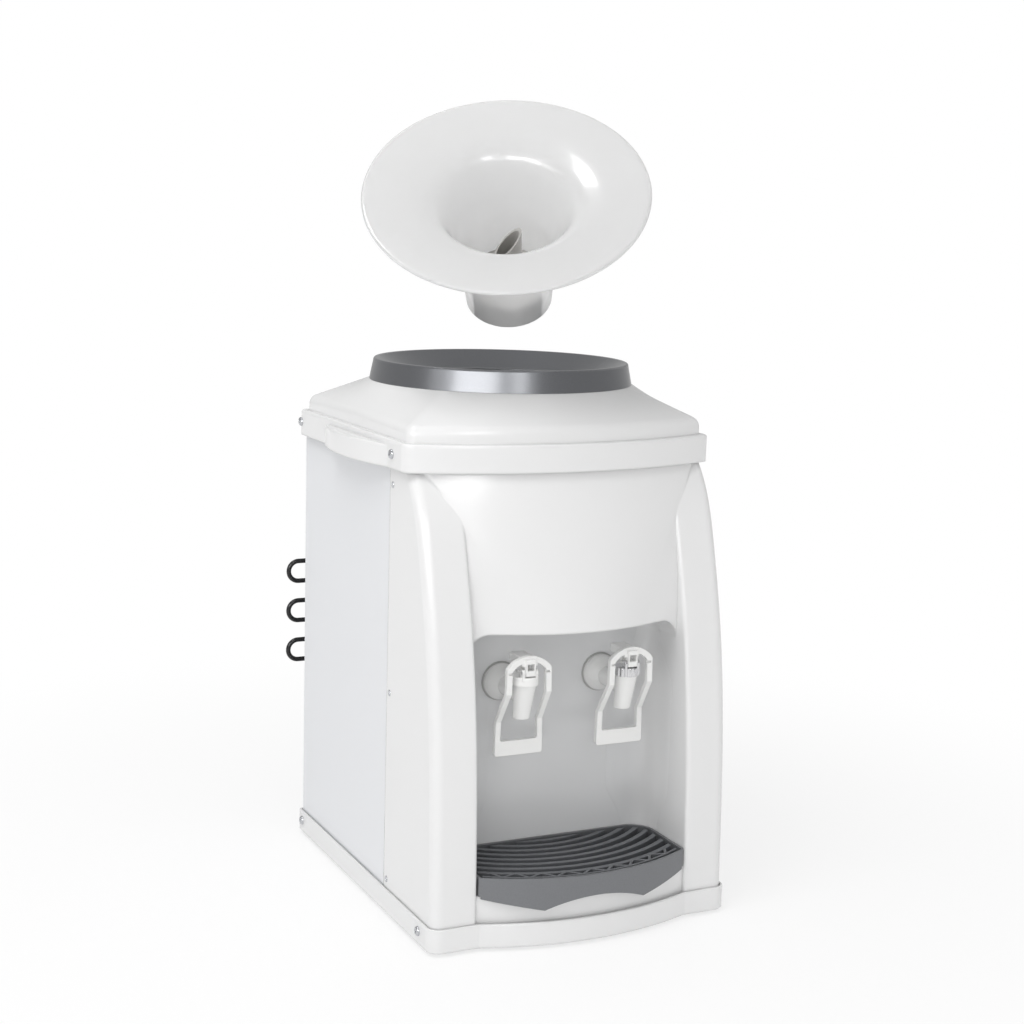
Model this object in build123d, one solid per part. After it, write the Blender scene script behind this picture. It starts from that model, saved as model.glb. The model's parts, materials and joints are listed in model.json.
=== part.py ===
from build123d import *
import os
from math import cos, radians, sin

# Countertop water dispenser with a chilled reservoir, two push-lever taps and a bottle funnel.
# Millimetres. +Z is up, the front looks towards -Y, the origin lies under the middle of the footprint.

# Cabinet
WALL = 2.5                      # moulded wall of the plastic pieces
BASE_WALL = 2.2
SHEET = 0.8                     # painted sheet steel
FOOT_H = 3.0
FOOT_X = 118.0
FOOT_Y = 140.0
BASE_HALF_W = 150.0
BASE_TOP = 25.0
BASE_FLOOR = 6.5                # top of the base floor
REAR_Y = 172.0                  # rear of the base and of the top cover
BASE_FRONT_Y = -179.5           # straight parts of the base front
BULGE_FRONT_Y = -198.6          # bowed middle of the base front
BULGE_HALF_W = 104.0
FRONT_CORNER_R = 12.0
REAR_CORNER_R = 4.0
PANEL_HALF_W = 147.0
PANEL_TOP = 421.0
SHEET_TOP = 434.0
SHEET_FOLD = 16.0
SEAM_Y = -60.0                  # joint between the front moulding and the side sheets
REAR_PANEL_Y = 168.0            # outer face of the rear sheet

# Front moulding: side line of the pillars as (y, z), and the convex fascia between them
PILLAR_LINE = (
    (-176.6, 6.5), (-171.0, 164.0), (-160.5, 254.0), (-139.5, 344.0), (-125.0, 386.0), (-101.0, 421.0))
PILLAR_CORNER_R = 9.5
PILLAR_EDGE_R = 3.0
NICHE_HALF_W = 105.0
NICHE_TOP = 276.5
NICHE_FLOOR = 49.0
NICHE_BACK_Y = -96.0
NICHE_CORNER_R = 20.0
TAP_PANEL_T = 3.0
LOWER_APEX_Y = -193.0
LOWER_EDGE_Y = -171.0
# Fascia sections: height, apex y, then the (x, y) of the crease and of the flank's end
FASCIA = (
    (421.0, -133.0, (136.0, -107.5), (144.0, -101.0)),
    (352.0, -151.0, (94.0, -138.0), (110.0, -132.5)),
    (305.0, -162.5, (72.0, -151.0), (108.5, -140.0)),
    (258.0, -173.5, (68.0, -158.0), (108.5, -141.0)),
)

# Top cover and collar
SKIRT_BOTTOM = 415.0
SKIRT_TOP = 440.0
ROOF_EAVE = 453.0
ROOF_TOP = 480.0
COVER_HALF_W = 153.0
COVER_CORNER_Y = -107.0
COVER_APEX_Y = -139.0
COVER_REAR_R = 9.0
COVER_STEP = 6.0                # the roof stands this far inside the skirt
BROW_R = 10.0
GRIP_REACH = 166.5
GRIP_REAR_Y = 80.0
GRIP_MID_Y = 14.7
GRIP_FRONT_Y = -70.0
GRIP_TOP = 435.0
AXIS_Y = 28.3                   # reservoir, collar and seated funnel share this axis
COLLAR_BASE_R = 125.4
COLLAR_RIM_R = 121.3
COLLAR_TOP = 500.0
COLLAR_LIP_R = 111.6            # locating lip inside the cover's opening
COLLAR_BORE_R = 88.0

# Reservoir
TANK_R = 82.0
TANK_WALL = 1.5
TANK_FLOOR = 298.0
TANK_TOP = 463.5
TANK_FLANGE_R = 94.0
FOAM_R = 108.0
FOAM_BORE_R = 95.0
FOAM_BOTTOM = 282.0
PAD_T = 15.8
SHELF_Z = 281.0
COIL_R = 88.0
COIL_TUBE_R = 3.0
COIL_TURNS = 4
COIL_PITCH = 16.0
COIL_LOW_Z = 318.0
OUTLET_Y = -10.0
OUTLET_R = 4.1
OUTLET_BORE_R = 3.0
OUTLET_END_Z = 270.0
HOSE_R = 6.0
HOSE_BEND_R = 30.0

# Funnel: it lies lifted off its seat and tipped towards the user
FUNNEL_WALL = 2.2
FUNNEL_NECK_DEPTH = 129.6
FUNNEL_SEAT_Z = 505.8           # rim plane when seated on the collar
# Inside line of the bowl: radius, depth under the rim plane, and slope in degrees
FUNNEL_LINE = (
    (128.4, 0.0, 10.0), (102.0, 9.4, 25.0), (70.2, 29.1, 45.0), (52.0, 58.3, 63.0), (39.7, 89.5, 80.0))
FUNNEL_NECK_END_R = 38.1
LEDGE_DEPTH = 105.0
SPIKE_R = 13.0
SPIKE_BORE_R = 10.6
SPIKE_TIP_DEPTH = 47.0
SPIKE_CUT = 50.0                # slant of the spike's tip in degrees
SPIKE_TURN = -23.5              # way the slant faces, in degrees about the funnel's axis
LIFT_SWING = 41.369             # degrees between the seat and the lifted place
LIFT_AXIS_POINT = (-119.63, -194.01, 445.14)
LIFT_AXIS_DIR = (0.88412, -0.46585, -0.03633)

# Taps
TAP_X = 51.0
TAP_Z = 219.4
FLANGE_R = 17.0
FLANGE_T = 15.0
GASKET_T = 1.2
SHANK_R = 8.0
SHANK_END_Y = -74.0
BARB_END_Y = -60.0
ARM_R = 9.3
SPOUT_Y = -148.0                # axis of barrel and plunger
SPOUT_RAKE = 6.0                # the spout's tip stands this far behind that axis
SPOUT_BOTTOM = 197.3
SPOUT_TIP_R = 7.6
BARREL_R = 10.4
BARREL_BORE_R = 5.0
BARREL_FLOOR = 215.0
BARREL_TOP = 229.5
CAP_TOP = 237.5
CAP_R = 12.2
PIVOT_ARM = 8.0                 # the lever pivots this far in front of the plunger
PIVOT_Y = SPOUT_Y - PIVOT_ARM
PIVOT_Z = 241.5
PIN_R = 1.2
RUN_GAP = 0.05                  # radial clearance of pins and stems that turn or slide
EAR_IN = 5.0
EAR_OUT = 7.4
EAR_R = 3.2
HUB_HALF = 4.6
LEVER_W = 43.0
LEVER_FOOT_W = 47.0
LEVER_ARM = 5.2
LEVER_T = 5.0
LEVER_TOP = 256.6
LEVER_ARCH = 11.0
LEVER_BOTTOM = 162.0
LEVER_PLATE = 13.5
LEVER_FRONT_Y = -154.5          # middle plane of the upper half
LEVER_BACK_Y = -136.2           # middle plane of the push plate
CRANK_HIGH = 223.0
CRANK_LOW = 193.7
HOOD_HALF = 7.5
HOOD_BACK_Y = -130.0
STEM_R = 2.5
STEM_HEAD_R = 4.4
SHOULDER_R = 4.2
SEAL_R = 4.5
SPRING_TURNS = 4
SPRING_R = 3.6
SPRING_WIRE_R = 0.5

# Drip tray
TRAY_HALF_W = 103.5
TRAY_REAR_Y = -97.5
TRAY_CORNER_Y = -175.0
TRAY_APEX_Y = -204.0
TRAY_REAR_R = 22.0
TRAY_BOTTOM = 49.3
TRAY_TOP = 66.3
APRON_TIP_X = 49.4
APRON_TIP_Z = 36.9
APRON_END_Z = 47.5
APRON_ARCH_Z = 47.0
GRILLE_TOP = 65.6
SLATS = 7
SLAT_PITCH = 11.6
SLAT_W = 4.6
SLAT_H = 5.0
TRUSS_DEPTH = 11.0
TRUSS_BAYS = 16

# Cooling set
CONDENSER_Y = 200.2            # centre plane of the condenser tube
CONDENSER_R = 2.4
CONDENSER_HALF_W = 153.0
CONDENSER_RUNS = 6
CONDENSER_PITCH = 20.7
CONDENSER_LOW_Z = 175.8
CONDENSER_EXIT_X = 124.0
CONDENSER_LOW_EXIT_Z = 150.0
CONDENSER_HIGH_EXIT_Z = 308.0
WIRE_R = 0.8
WIRE_COUNT = 21
WIRE_PITCH = 13.0
BRACKET_X = 110.5
BRACKET_W = 10.0
BRACKET_T = 1.2
COMPRESSOR_X = -40.0
COMPRESSOR_Y = 78.0
COMPRESSOR_R = 60.0
PLATE_Z = 18.0
THERMOSTAT_X = 92.0
THERMOSTAT_Z = 345.0
SHAFT_R = 3.0
SHAFT_LENGTH = 10.2
GLAND_X = -105.0
GLAND_Z = 42.0
GLAND_BORE_R = 4.0
DRIER_X = CONDENSER_EXIT_X
DRIER_Y = 128.0
DRIER_LOW = 165.0
DRIER_TOP = 250.0
SUCTION_X = 115.0
DISCHARGE_Y = 148.0
PIPE_R = 2.5
PIPE_BEND_R = 6.0

# Fasteners
SCREW_R = 2.0
SCREW_HEAD_R = 4.4
SCREW_HEAD_H = 2.6
SCREW_LENGTH = 9.0
RIVET_HEIGHTS = (33.0, 209.0, 399.0)
REAR_SCREW_HEIGHTS = (40.0, 220.0, 400.0)

UP = (Align.CENTER, Align.CENTER, Align.MIN)
os.makedirs("parts", exist_ok=True)


def closed(*lines):
    """Face bounded by joined lines and arcs."""
    return make_face(Curve() + list(lines))


def disc(radius, height, x=0.0, y=0.0, z=0.0):
    """Upright cylinder standing on height z."""
    return Pos(x, y, z) * Cylinder(radius, height, align=UP)


def rod(radius, start, length, axis):
    """Round bar from a start point along +X or +Y."""
    turn = Rot(0, 90, 0) if axis == "x" else Rot(-90, 0, 0)
    return Pos(*start) * turn * Cylinder(radius, length, align=UP)


def turned(points, x=0.0, y=0.0):
    """Solid turned about an upright axis from (radius, z) points."""
    profile = Plane.XZ * make_face(Polyline(*points, close=True))
    return Pos(x, y, 0) * revolve(profile, Axis.Z)


def turned_along_y(points, x, y, z):
    """Solid turned about a level axis from (radius, distance towards -Y) points."""
    return Pos(x, y, z) * Rot(90, 0, 0) * turned(points)


def pipe(points, radius, outer_r, bore_r=0.0):
    """Round tube along straight runs joined by tangent arcs."""
    path = FilletPolyline(*points, radius=radius)
    section = Circle(outer_r) - Circle(bore_r) if bore_r else Circle(outer_r)
    return sweep(Plane(path @ 0, z_dir=path % 0) * section, path=path)


def rounded_plan(face, half_w, middle_y, front_r, rear_r):
    """Round the corners of a plan outline that lie on its two straight sides."""
    for in_front, radius in ((True, front_r), (False, rear_r)):
        corners = face.vertices().filter_by(
            lambda v: abs(abs(v.X) - half_w) < 0.01 and (v.Y < middle_y) == in_front)
        face = fillet(corners, radius)
    return face


# Fastener places

def screw_places_base():
    """Screws through the base rim as (x, y, z)."""
    return [(side * BASE_HALF_W, y, 15.5) for side in (-1, 1) for y in (-151.0, 160.0)]


def screw_places_cover():
    """Screws through the skirt of the top cover as (x, y, z)."""
    return [(side * COVER_HALF_W, y, 428.0) for side in (-1, 1) for y in (-78.0, 164.0)]


def rivet_places():
    """Rivets that hold the front moulding to the side sheets as (x, y, z)."""
    return [(side * PANEL_HALF_W, SEAM_Y - 7, z) for side in (-1, 1) for z in RIVET_HEIGHTS]


def rear_screw_places():
    """Screws of the rear sheet as (x, z)."""
    return [(side * (PANEL_HALF_W - 10), z) for side in (-1, 1) for z in REAR_SCREW_HEIGHTS]


def bracket_heights():
    """Heights of the lower and the upper bracket arm, against the outer runs of the tube."""
    top_run = CONDENSER_LOW_Z + (CONDENSER_RUNS - 1) * CONDENSER_PITCH
    return (CONDENSER_LOW_Z - CONDENSER_R - BRACKET_T, top_run + CONDENSER_R)


# Cabinet

def base_outline(inset):
    """Plan of the base band: straight sides and a bowed front."""
    half = BASE_HALF_W - inset
    flat = BASE_FRONT_Y + inset
    rear = REAR_Y - inset
    sides = Polyline(
        (-BULGE_HALF_W, flat), (-half, flat), (-half, rear), (half, rear), (half, flat), (BULGE_HALF_W, flat))
    bow = ThreePointArc((BULGE_HALF_W, flat), (0, BULGE_FRONT_Y + inset), (-BULGE_HALF_W, flat))
    return rounded_plan(closed(sides, bow), half, 0.0, FRONT_CORNER_R - inset, REAR_CORNER_R - inset)


def foot_places():
    """Centres of the four feet."""
    return [(sx * FOOT_X, sy * FOOT_Y) for sx in (-1, 1) for sy in (-1, 1)]


def base_tray():
    """Moulded base with an upstanding rim, foot holes and air slots under the compressor."""
    body = Pos(0, 0, FOOT_H) * extrude(base_outline(0), BASE_TOP - FOOT_H)
    body = chamfer(body.faces().sort_by(Axis.Z)[0].edges(), 1.2)
    body = fillet(body.faces().sort_by(Axis.Z)[-1].edges(), 0.8)
    body -= Pos(0, 0, BASE_FLOOR) * extrude(base_outline(BASE_WALL), BASE_TOP)
    for x, y in foot_places():
        body -= disc(3.0, BASE_TOP, x, y)
    for row in range(7):
        slot = extrude(SlotOverall(70, 4), BASE_TOP)
        body -= Pos(COMPRESSOR_X, COMPRESSOR_Y + 12 * (row - 3), 0) * slot
    for x, y, z in screw_places_base():
        body -= rod(SCREW_R + RUN_GAP, (x - 6, y, z), 12, "x")
    return body


def rubber_feet():
    """Four pads with a stud that snaps into the base."""
    points = ((0, 0), (10, 0), (11.5, FOOT_H), (2.95, FOOT_H), (2.95, BASE_FLOOR), (0, BASE_FLOOR))
    return Compound([turned(points, x, y) for x, y in foot_places()])


def side_sheet(side):
    """Side sheet with a joggled front flange and a folded rear edge."""
    outer = PANEL_HALF_W - 0.4
    step = PANEL_HALF_W - WALL - 0.2
    front = SEAM_Y + 0.4
    rear = REAR_PANEL_Y - SHEET
    inner = outer - SHEET
    fold = outer - SHEET_FOLD
    plan = make_face(Polyline(
        (outer, front), (outer, rear), (fold, rear), (fold, rear - SHEET), (inner, rear - SHEET),
        (inner, front + SHEET), (step - SHEET, front + SHEET), (step - SHEET, front - SHEET_FOLD),
        (step, front - SHEET_FOLD), (step, front), close=True))
    sheet = Pos(0, 0, BASE_FLOOR) * extrude(plan, SHEET_TOP - BASE_FLOOR)
    notch = Box(
        SHEET_FOLD + 4, SHEET_FOLD, SHEET_TOP - PANEL_TOP + 8, align=(Align.MAX, Align.MAX, Align.MIN))
    sheet -= Pos(outer, front, PANEL_TOP - 8) * notch
    for x, y, z in rivet_places()[3:] + screw_places_base()[2:] + screw_places_cover()[2:]:
        sheet -= rod(SCREW_R + RUN_GAP, (x - 14, y, z), 16, "x")
    for x, z in rear_screw_places()[3:]:
        sheet -= rod(SCREW_R + RUN_GAP, (x, rear - 4, z), 8, "y")
    return sheet if side > 0 else mirror(sheet, about=Plane.YZ)


def rear_panel():
    """Rear sheet with air slots, and holes for pipes, thermostat, mains lead and screws."""
    half = PANEL_HALF_W - 1.5
    plate = Box(2 * half, SHEET, SHEET_TOP - BASE_FLOOR, align=UP)
    plate = Pos(0, REAR_PANEL_Y - SHEET / 2, BASE_FLOOR) * plate
    facing = Plane((0, REAR_PANEL_Y, 0), x_dir=(1, 0, 0), z_dir=(0, -1, 0))
    slot = extrude(facing * SlotOverall(46, 5), 4, both=True)
    for row in range(6):
        for x in (-62.0, 0.0, 62.0):
            plate -= Pos(x, 0, 64.0 + 13 * row) * slot
    holes = [(x, z, SCREW_R + RUN_GAP) for x, z in rear_screw_places()]
    holes += [(THERMOSTAT_X, THERMOSTAT_Z, 4.0), (GLAND_X, GLAND_Z, 7.0)]
    holes += [(CONDENSER_EXIT_X, z, CONDENSER_R + 2) for z in (CONDENSER_LOW_EXIT_Z, CONDENSER_HIGH_EXIT_Z)]
    for side in (-1, 1):
        holes += [(side * BRACKET_X, bracket_screw_z(z), SCREW_R + RUN_GAP) for z in bracket_heights()]
    for x, z, radius in holes:
        plate -= rod(radius, (x, REAR_PANEL_Y - 4, z), 8, "y")
    return plate


def pillar_block(inset):
    """Both pillars: the side line drawn across the width, its middle opened for fascia and niche."""
    line = [(y + inset, z) for y, z in PILLAR_LINE]
    (low_y, low_z), (high_y, high_z) = line[0], line[-1]
    profile = Plane.YZ * closed(
        Spline(*line), Polyline((high_y, high_z), (SEAM_Y, high_z), (SEAM_Y, low_z), (low_y, low_z)))
    block = extrude(profile, PANEL_HALF_W - inset, both=True)
    block = fillet(block.edges().filter_by(GeomType.BSPLINE), PILLAR_CORNER_R - inset)
    half = NICHE_HALF_W + inset
    middle = Pos(0, SEAM_Y, NICHE_FLOOR - 30) * Box(2 * half, 400, PANEL_TOP, align=UP)
    block -= middle
    inner_edges = block.edges().filter_by(GeomType.BSPLINE).filter_by(
        lambda e: abs(abs(e.center().X) - half) < 0.01)
    return fillet(inner_edges, PILLAR_EDGE_R)


def fascia_section(z, apex, crease, end, inset):
    """Plan of the fascia at one height: a bowed middle, two flanks and a straight back."""
    (cx, cy), (ex, ey) = crease, end
    bow = ThreePointArc((-cx, cy + inset), (0, apex + inset), (cx, cy + inset))
    flanks = Polyline(
        (cx, cy + inset), (ex, ey + inset), (ex, SEAM_Y), (-ex, SEAM_Y), (-ex, ey + inset), (-cx, cy + inset))
    return Pos(0, 0, z) * closed(bow, flanks)


def fascia_block(inset):
    """Convex fascia that narrows to a tongue over the niche."""
    return loft([fascia_section(z, apex, crease, end, inset) for z, apex, crease, end in FASCIA])


def lower_block(inset):
    """Bowed panel below the drip tray."""
    half = NICHE_HALF_W + 3
    edge = LOWER_EDGE_Y + inset
    plan = closed(
        ThreePointArc((-half, edge), (0, LOWER_APEX_Y + inset), (half, edge)),
        Polyline((half, edge), (half, SEAM_Y), (-half, SEAM_Y), (-half, edge)))
    return Pos(0, 0, BASE_FLOOR) * extrude(plan, NICHE_FLOOR - BASE_FLOOR + WALL)


def niche_block(outset):
    """Cup niche between the pillars, open to the front."""
    half = NICHE_HALF_W + outset
    low = NICHE_FLOOR - outset
    high = NICHE_TOP + outset
    face = Pos(0, (low + high) / 2) * Rectangle(2 * half, high - low)
    face = fillet(face.vertices().group_by(Axis.Y)[-1], NICHE_CORNER_R + outset)
    front = Plane((0, NICHE_BACK_Y, 0), x_dir=(1, 0, 0), z_dir=(0, -1, 0))
    return extrude(front * face, 200)


def front_panel():
    """Front moulding: pillars, fascia and niche as one even wall, open at the back."""
    outer = pillar_block(0) + fascia_block(0) + lower_block(0)
    inner = pillar_block(WALL) + fascia_block(WALL) + lower_block(WALL)
    shell = (outer - niche_block(0)) - (inner - niche_block(WALL))
    for x, y, z in rivet_places() + screw_places_base():
        shell -= rod(SCREW_R + RUN_GAP, (x - 6, y, z), 12, "x")
    return shell


def tap_panel():
    """Back wall of the niche, which carries both taps."""
    half = NICHE_HALF_W - 0.2
    low = NICHE_FLOOR - WALL
    high = NICHE_TOP + WALL
    plate = Pos(0, NICHE_BACK_Y + TAP_PANEL_T / 2, low) * Box(2 * half, TAP_PANEL_T, high - low, align=UP)
    for side in (-1, 1):
        plate -= rod(SHANK_R + 0.1, (side * TAP_X, NICHE_BACK_Y - 2, TAP_Z), 8, "y")
    return plate


def cover_outline(inset, rear_r):
    """Plan of the top cover: straight sides and rear, bowed front."""
    half = COVER_HALF_W - inset
    corner = COVER_CORNER_Y + inset
    rear = REAR_Y - inset
    face = closed(
        Polyline((-half, corner), (-half, rear), (half, rear), (half, corner)),
        ThreePointArc((half, corner), (0, COVER_APEX_Y + inset), (-half, corner)))
    return rounded_plan(face, half, 0.0, FRONT_CORNER_R - inset / 2, rear_r)


def round_seat(plan, radius):
    """Disc round the reservoir's axis, its rim split in line with the corners of a plan outline."""
    def on_rim(point):
        reach = point - Vector(0, AXIS_Y, 0)
        return Vector(0, AXIS_Y, 0) + reach.normalized() * radius
    edges = plan.face().outer_wire().order_edges()
    arcs = [ThreePointArc(on_rim(e @ 0), on_rim(e @ 0.5), on_rim(e @ 1)) for e in edges]
    return closed(*arcs)


def roof_block(inset, brow):
    """Upper part of the cover: a low wall, a rounded brow and a roof that runs up to the round seat."""
    plan = cover_outline(COVER_STEP + inset, COVER_REAR_R - inset / 2)
    low = SKIRT_TOP - 10
    eave = ROOF_EAVE - inset
    wall = Pos(0, 0, low) * extrude(plan, eave - low)
    seat = round_seat(plan, COLLAR_BASE_R)
    roof = wall + loft([Pos(0, 0, eave) * plan, Pos(0, 0, ROOF_TOP - inset) * seat], ruled=True)
    brow_edges = roof.edges().filter_by(lambda e: abs(e.center().Z - eave) < 0.05)
    return fillet(brow_edges, brow)


def grip(side):
    """Finger grip that swells from the skirt."""
    root = COVER_HALF_W - 1
    plan = closed(
        Polyline((root, GRIP_FRONT_Y), (root, GRIP_REAR_Y + 2), (root + 6, GRIP_REAR_Y)),
        ThreePointArc((root + 6, GRIP_REAR_Y), (GRIP_REACH, GRIP_MID_Y), (root, GRIP_FRONT_Y)))
    body = Pos(0, 0, SKIRT_BOTTOM) * extrude(plan, GRIP_TOP - SKIRT_BOTTOM)
    rim = body.faces().sort_by(Axis.Z)[-1].edges().filter_by(lambda e: e.center().X > root + 1)
    body = fillet(rim, 2.0)
    return body if side > 0 else mirror(body, about=Plane.YZ)


def top_cover():
    """Hollow top cover with skirt, roof, side grips and the round seat of the collar."""
    skirt = Pos(0, 0, SKIRT_BOTTOM) * extrude(cover_outline(0, COVER_REAR_R), SKIRT_TOP - SKIRT_BOTTOM)
    skirt = fillet(skirt.faces().sort_by(Axis.Z)[-1].edges(), 2.5)
    body = skirt + roof_block(0, BROW_R) + grip(-1) + grip(1)
    body -= Pos(0, 0, SKIRT_BOTTOM) * extrude(
        cover_outline(WALL, COVER_REAR_R - WALL), SKIRT_TOP - SKIRT_BOTTOM - WALL)
    body -= roof_block(WALL, BROW_R - WALL)
    body -= disc(COLLAR_LIP_R + 0.2, 100, 0, AXIS_Y, SKIRT_BOTTOM)
    for x, y, z in screw_places_cover():
        body -= rod(SCREW_R + RUN_GAP, (x - 6, y, z), 12, "x")
    return body


def collar_ring():
    """Collar that takes the bottle: sloped wall, rounded rim and a dished inside."""
    outer = ((COLLAR_BASE_R, ROOF_TOP), (COLLAR_RIM_R, COLLAR_TOP), (COLLAR_RIM_R - 4.6, COLLAR_TOP))
    bore, sleeve, lip = COLLAR_BORE_R, COLLAR_BORE_R + 2.2, COLLAR_LIP_R
    dish = ((bore + 5, 484.0), (bore, 483.0), (bore, 467.0), (sleeve, 467.0))
    under = (
        (sleeve, 480.8), (lip - 3, 491.4), (lip - 3, 473.0), (lip, 473.0), (lip, 493.2),
        (COLLAR_RIM_R - 4, 496.8), (COLLAR_RIM_R - 2, 496.8), (COLLAR_BASE_R - 2.4, ROOF_TOP))
    face = make_face(Polyline(*outer, *dish, *under, close=True))
    rim = face.vertices().filter_by(lambda v: abs(v.Y - COLLAR_TOP) < 0.01)
    face = fillet(rim, 2.0)
    return Pos(0, AXIS_Y, 0) * revolve(Plane.XZ * face, Axis.Z)


# Reservoir and funnel

def lifted(shape):
    """Carry a seated funnel piece to its lifted and tipped place."""
    return shape.rotate(Axis(LIFT_AXIS_POINT, LIFT_AXIS_DIR), LIFT_SWING)


def bottle_funnel():
    """Trumpet funnel with a neck and a ledge for the spike."""
    z = FUNNEL_SEAT_Z
    inside = [(r, z - depth) for r, depth, slope in FUNNEL_LINE]
    outside = [
        (r + FUNNEL_WALL * sin(radians(slope)), z - depth - FUNNEL_WALL * cos(radians(slope)))
        for r, depth, slope in FUNNEL_LINE]
    low = z - FUNNEL_NECK_DEPTH
    ledge = z - LEDGE_DEPTH
    end_r = FUNNEL_NECK_END_R
    neck = Polyline(
        inside[-1], (end_r + 0.8, ledge), (end_r - 2.5, ledge), (end_r - 2.5, ledge - 2),
        (end_r + 0.6, ledge - 2), (end_r, low), (end_r + FUNNEL_WALL, low), outside[-1])
    rim = ThreePointArc(outside[0], (outside[0][0] + FUNNEL_WALL / 2, z - FUNNEL_WALL / 2), inside[0])
    face = closed(Spline(*inside), neck, Spline(*reversed(outside)), rim)
    return lifted(Pos(0, AXIS_Y, 0) * revolve(Plane.XZ * face, Axis.Z))


def bottle_spike():
    """Hollow spike with a slanted tip on a round foot that drops into the neck."""
    z = FUNNEL_SEAT_Z - LEDGE_DEPTH
    tip = FUNNEL_SEAT_Z - SPIKE_TIP_DEPTH
    body = disc(FUNNEL_NECK_END_R - 0.4, 2.5, z=z) + disc(SPIKE_R, tip - z, z=z)
    body -= disc(SPIKE_BORE_R, tip, z=z - 1)
    cut = Pos(SPIKE_R, 0, tip) * Rot(0, -SPIKE_CUT, 0) * Box(90, 60, 60, align=UP)
    return lifted(Pos(0, AXIS_Y, 0) * Rot(0, 0, SPIKE_TURN) * (body - cut))


def water_tank():
    """Round wall of the tank with a rim flange."""
    inner = TANK_R - TANK_WALL
    return turned((
        (inner, TANK_FLOOR), (TANK_R, TANK_FLOOR), (TANK_R, TANK_TOP - TANK_WALL),
        (TANK_FLANGE_R, TANK_TOP - TANK_WALL), (TANK_FLANGE_R, TANK_TOP), (inner, TANK_TOP)), 0, AXIS_Y)


def tank_floor():
    """Pressed floor of the tank with two outlet stubs."""
    body = disc(TANK_R - TANK_WALL, TANK_WALL, 0, AXIS_Y, TANK_FLOOR)
    for side in (-1, 1):
        body += disc(OUTLET_R, TANK_FLOOR - OUTLET_END_Z + 1, side * TAP_X, OUTLET_Y, OUTLET_END_Z)
        body -= disc(OUTLET_BORE_R, 60, side * TAP_X, OUTLET_Y, OUTLET_END_Z - 1)
    return body


def tank_insulation():
    """Foam jacket round the tank, slotted for the coil's two pipes."""
    top = TANK_TOP - TANK_WALL - 0.2
    low = FOAM_BOTTOM + PAD_T
    body = turned(((FOAM_BORE_R, low), (FOAM_R, low), (FOAM_R, top), (FOAM_BORE_R, top)), 0, AXIS_Y)
    for y, z in coil_exits():
        body -= Pos(COIL_R + 20, y, z) * Box(60, 2 * COIL_TUBE_R + 1, 2 * COIL_TUBE_R + 1)
    return body


def insulation_pad():
    """Foam pad under the tank."""
    body = disc(FOAM_R, PAD_T, 0, AXIS_Y, FOAM_BOTTOM)
    for side in (-1, 1):
        body -= disc(OUTLET_R + 0.3, 40, side * TAP_X, OUTLET_Y, FOAM_BOTTOM - 5)
    return body


def coil_exits():
    """Places (y, z) where the coil's ends leave through the foam."""
    rise = COIL_TURNS * COIL_PITCH
    return [(AXIS_Y - 20, COIL_LOW_Z), (AXIS_Y + 20, COIL_LOW_Z + rise)]


def evaporator_coil():
    """Copper tube wound round the tank."""
    path = Pos(0, AXIS_Y, COIL_LOW_Z) * Helix(COIL_PITCH, COIL_TURNS * COIL_PITCH, COIL_R)
    return sweep(Plane(path @ 0, z_dir=path % 0) * Circle(COIL_TUBE_R), path=path, is_frenet=True)


def tank_shelf():
    """Folded sheet across the cabinet that carries the reservoir."""
    half = PANEL_HALF_W - 1.3
    front, rear = SEAM_Y + 2, REAR_PANEL_Y - 3
    depth = rear - front
    middle = (rear + front) / 2
    deck = Pos(0, middle, SHELF_Z - SHEET) * Box(2 * half, depth, SHEET, align=UP)
    for side in (-1, 1):
        deck += Pos(side * (half - SHEET / 2), middle, SHELF_Z - 14) * Box(SHEET, depth, 14, align=UP)
        deck -= disc(HOSE_R + 1, 4, side * TAP_X, OUTLET_Y, SHELF_Z - 2)
    for x, y in pipe_shafts():
        deck -= disc(COIL_TUBE_R + 2, 4, x, y, SHELF_Z - 2)
    return deck


def pipe_shafts():
    """Places (x, y) where liquid, suction and discharge pipes pass the shelf."""
    low, high = coil_exits()
    return [(DRIER_X, low[0]), (SUCTION_X, high[0]), (CONDENSER_EXIT_X, DISCHARGE_Y)]


def liquid_line():
    """Pipe from the drier up through the shelf to the lower end of the coil."""
    y, z = coil_exits()[0]
    level = SHELF_Z - 17
    return pipe([
        (COIL_R, AXIS_Y - 0.1, z), (COIL_R, y, z), (DRIER_X, y, z), (DRIER_X, y, level),
        (DRIER_X, DRIER_Y, level), (DRIER_X, DRIER_Y, DRIER_TOP)], PIPE_BEND_R, PIPE_R)


def suction_line():
    """Pipe from the upper end of the coil down through the shelf to the compressor."""
    y, z = coil_exits()[1]
    level = 120.0
    return pipe([
        (COIL_R, AXIS_Y + 0.1, z), (COIL_R, y, z), (SUCTION_X, y, z), (SUCTION_X, y, level),
        (SUCTION_X, COMPRESSOR_Y, level), (COMPRESSOR_X + COMPRESSOR_R - 2, COMPRESSOR_Y, level)],
        PIPE_BEND_R, PIPE_R)


def discharge_line():
    """Pipe from the compressor to the upper end of the condenser."""
    level, jog = 112.0, 200.0
    start, shaft = CONDENSER_EXIT_X, CONDENSER_EXIT_X - 30
    return pipe([
        (start, DISCHARGE_Y, CONDENSER_HIGH_EXIT_Z - 18), (start, DISCHARGE_Y, jog),
        (shaft, DISCHARGE_Y, jog), (shaft, DISCHARGE_Y, level), (COMPRESSOR_X, DISCHARGE_Y, level),
        (COMPRESSOR_X, COMPRESSOR_Y + COMPRESSOR_R - 2, level)], PIPE_BEND_R, PIPE_R)


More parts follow.
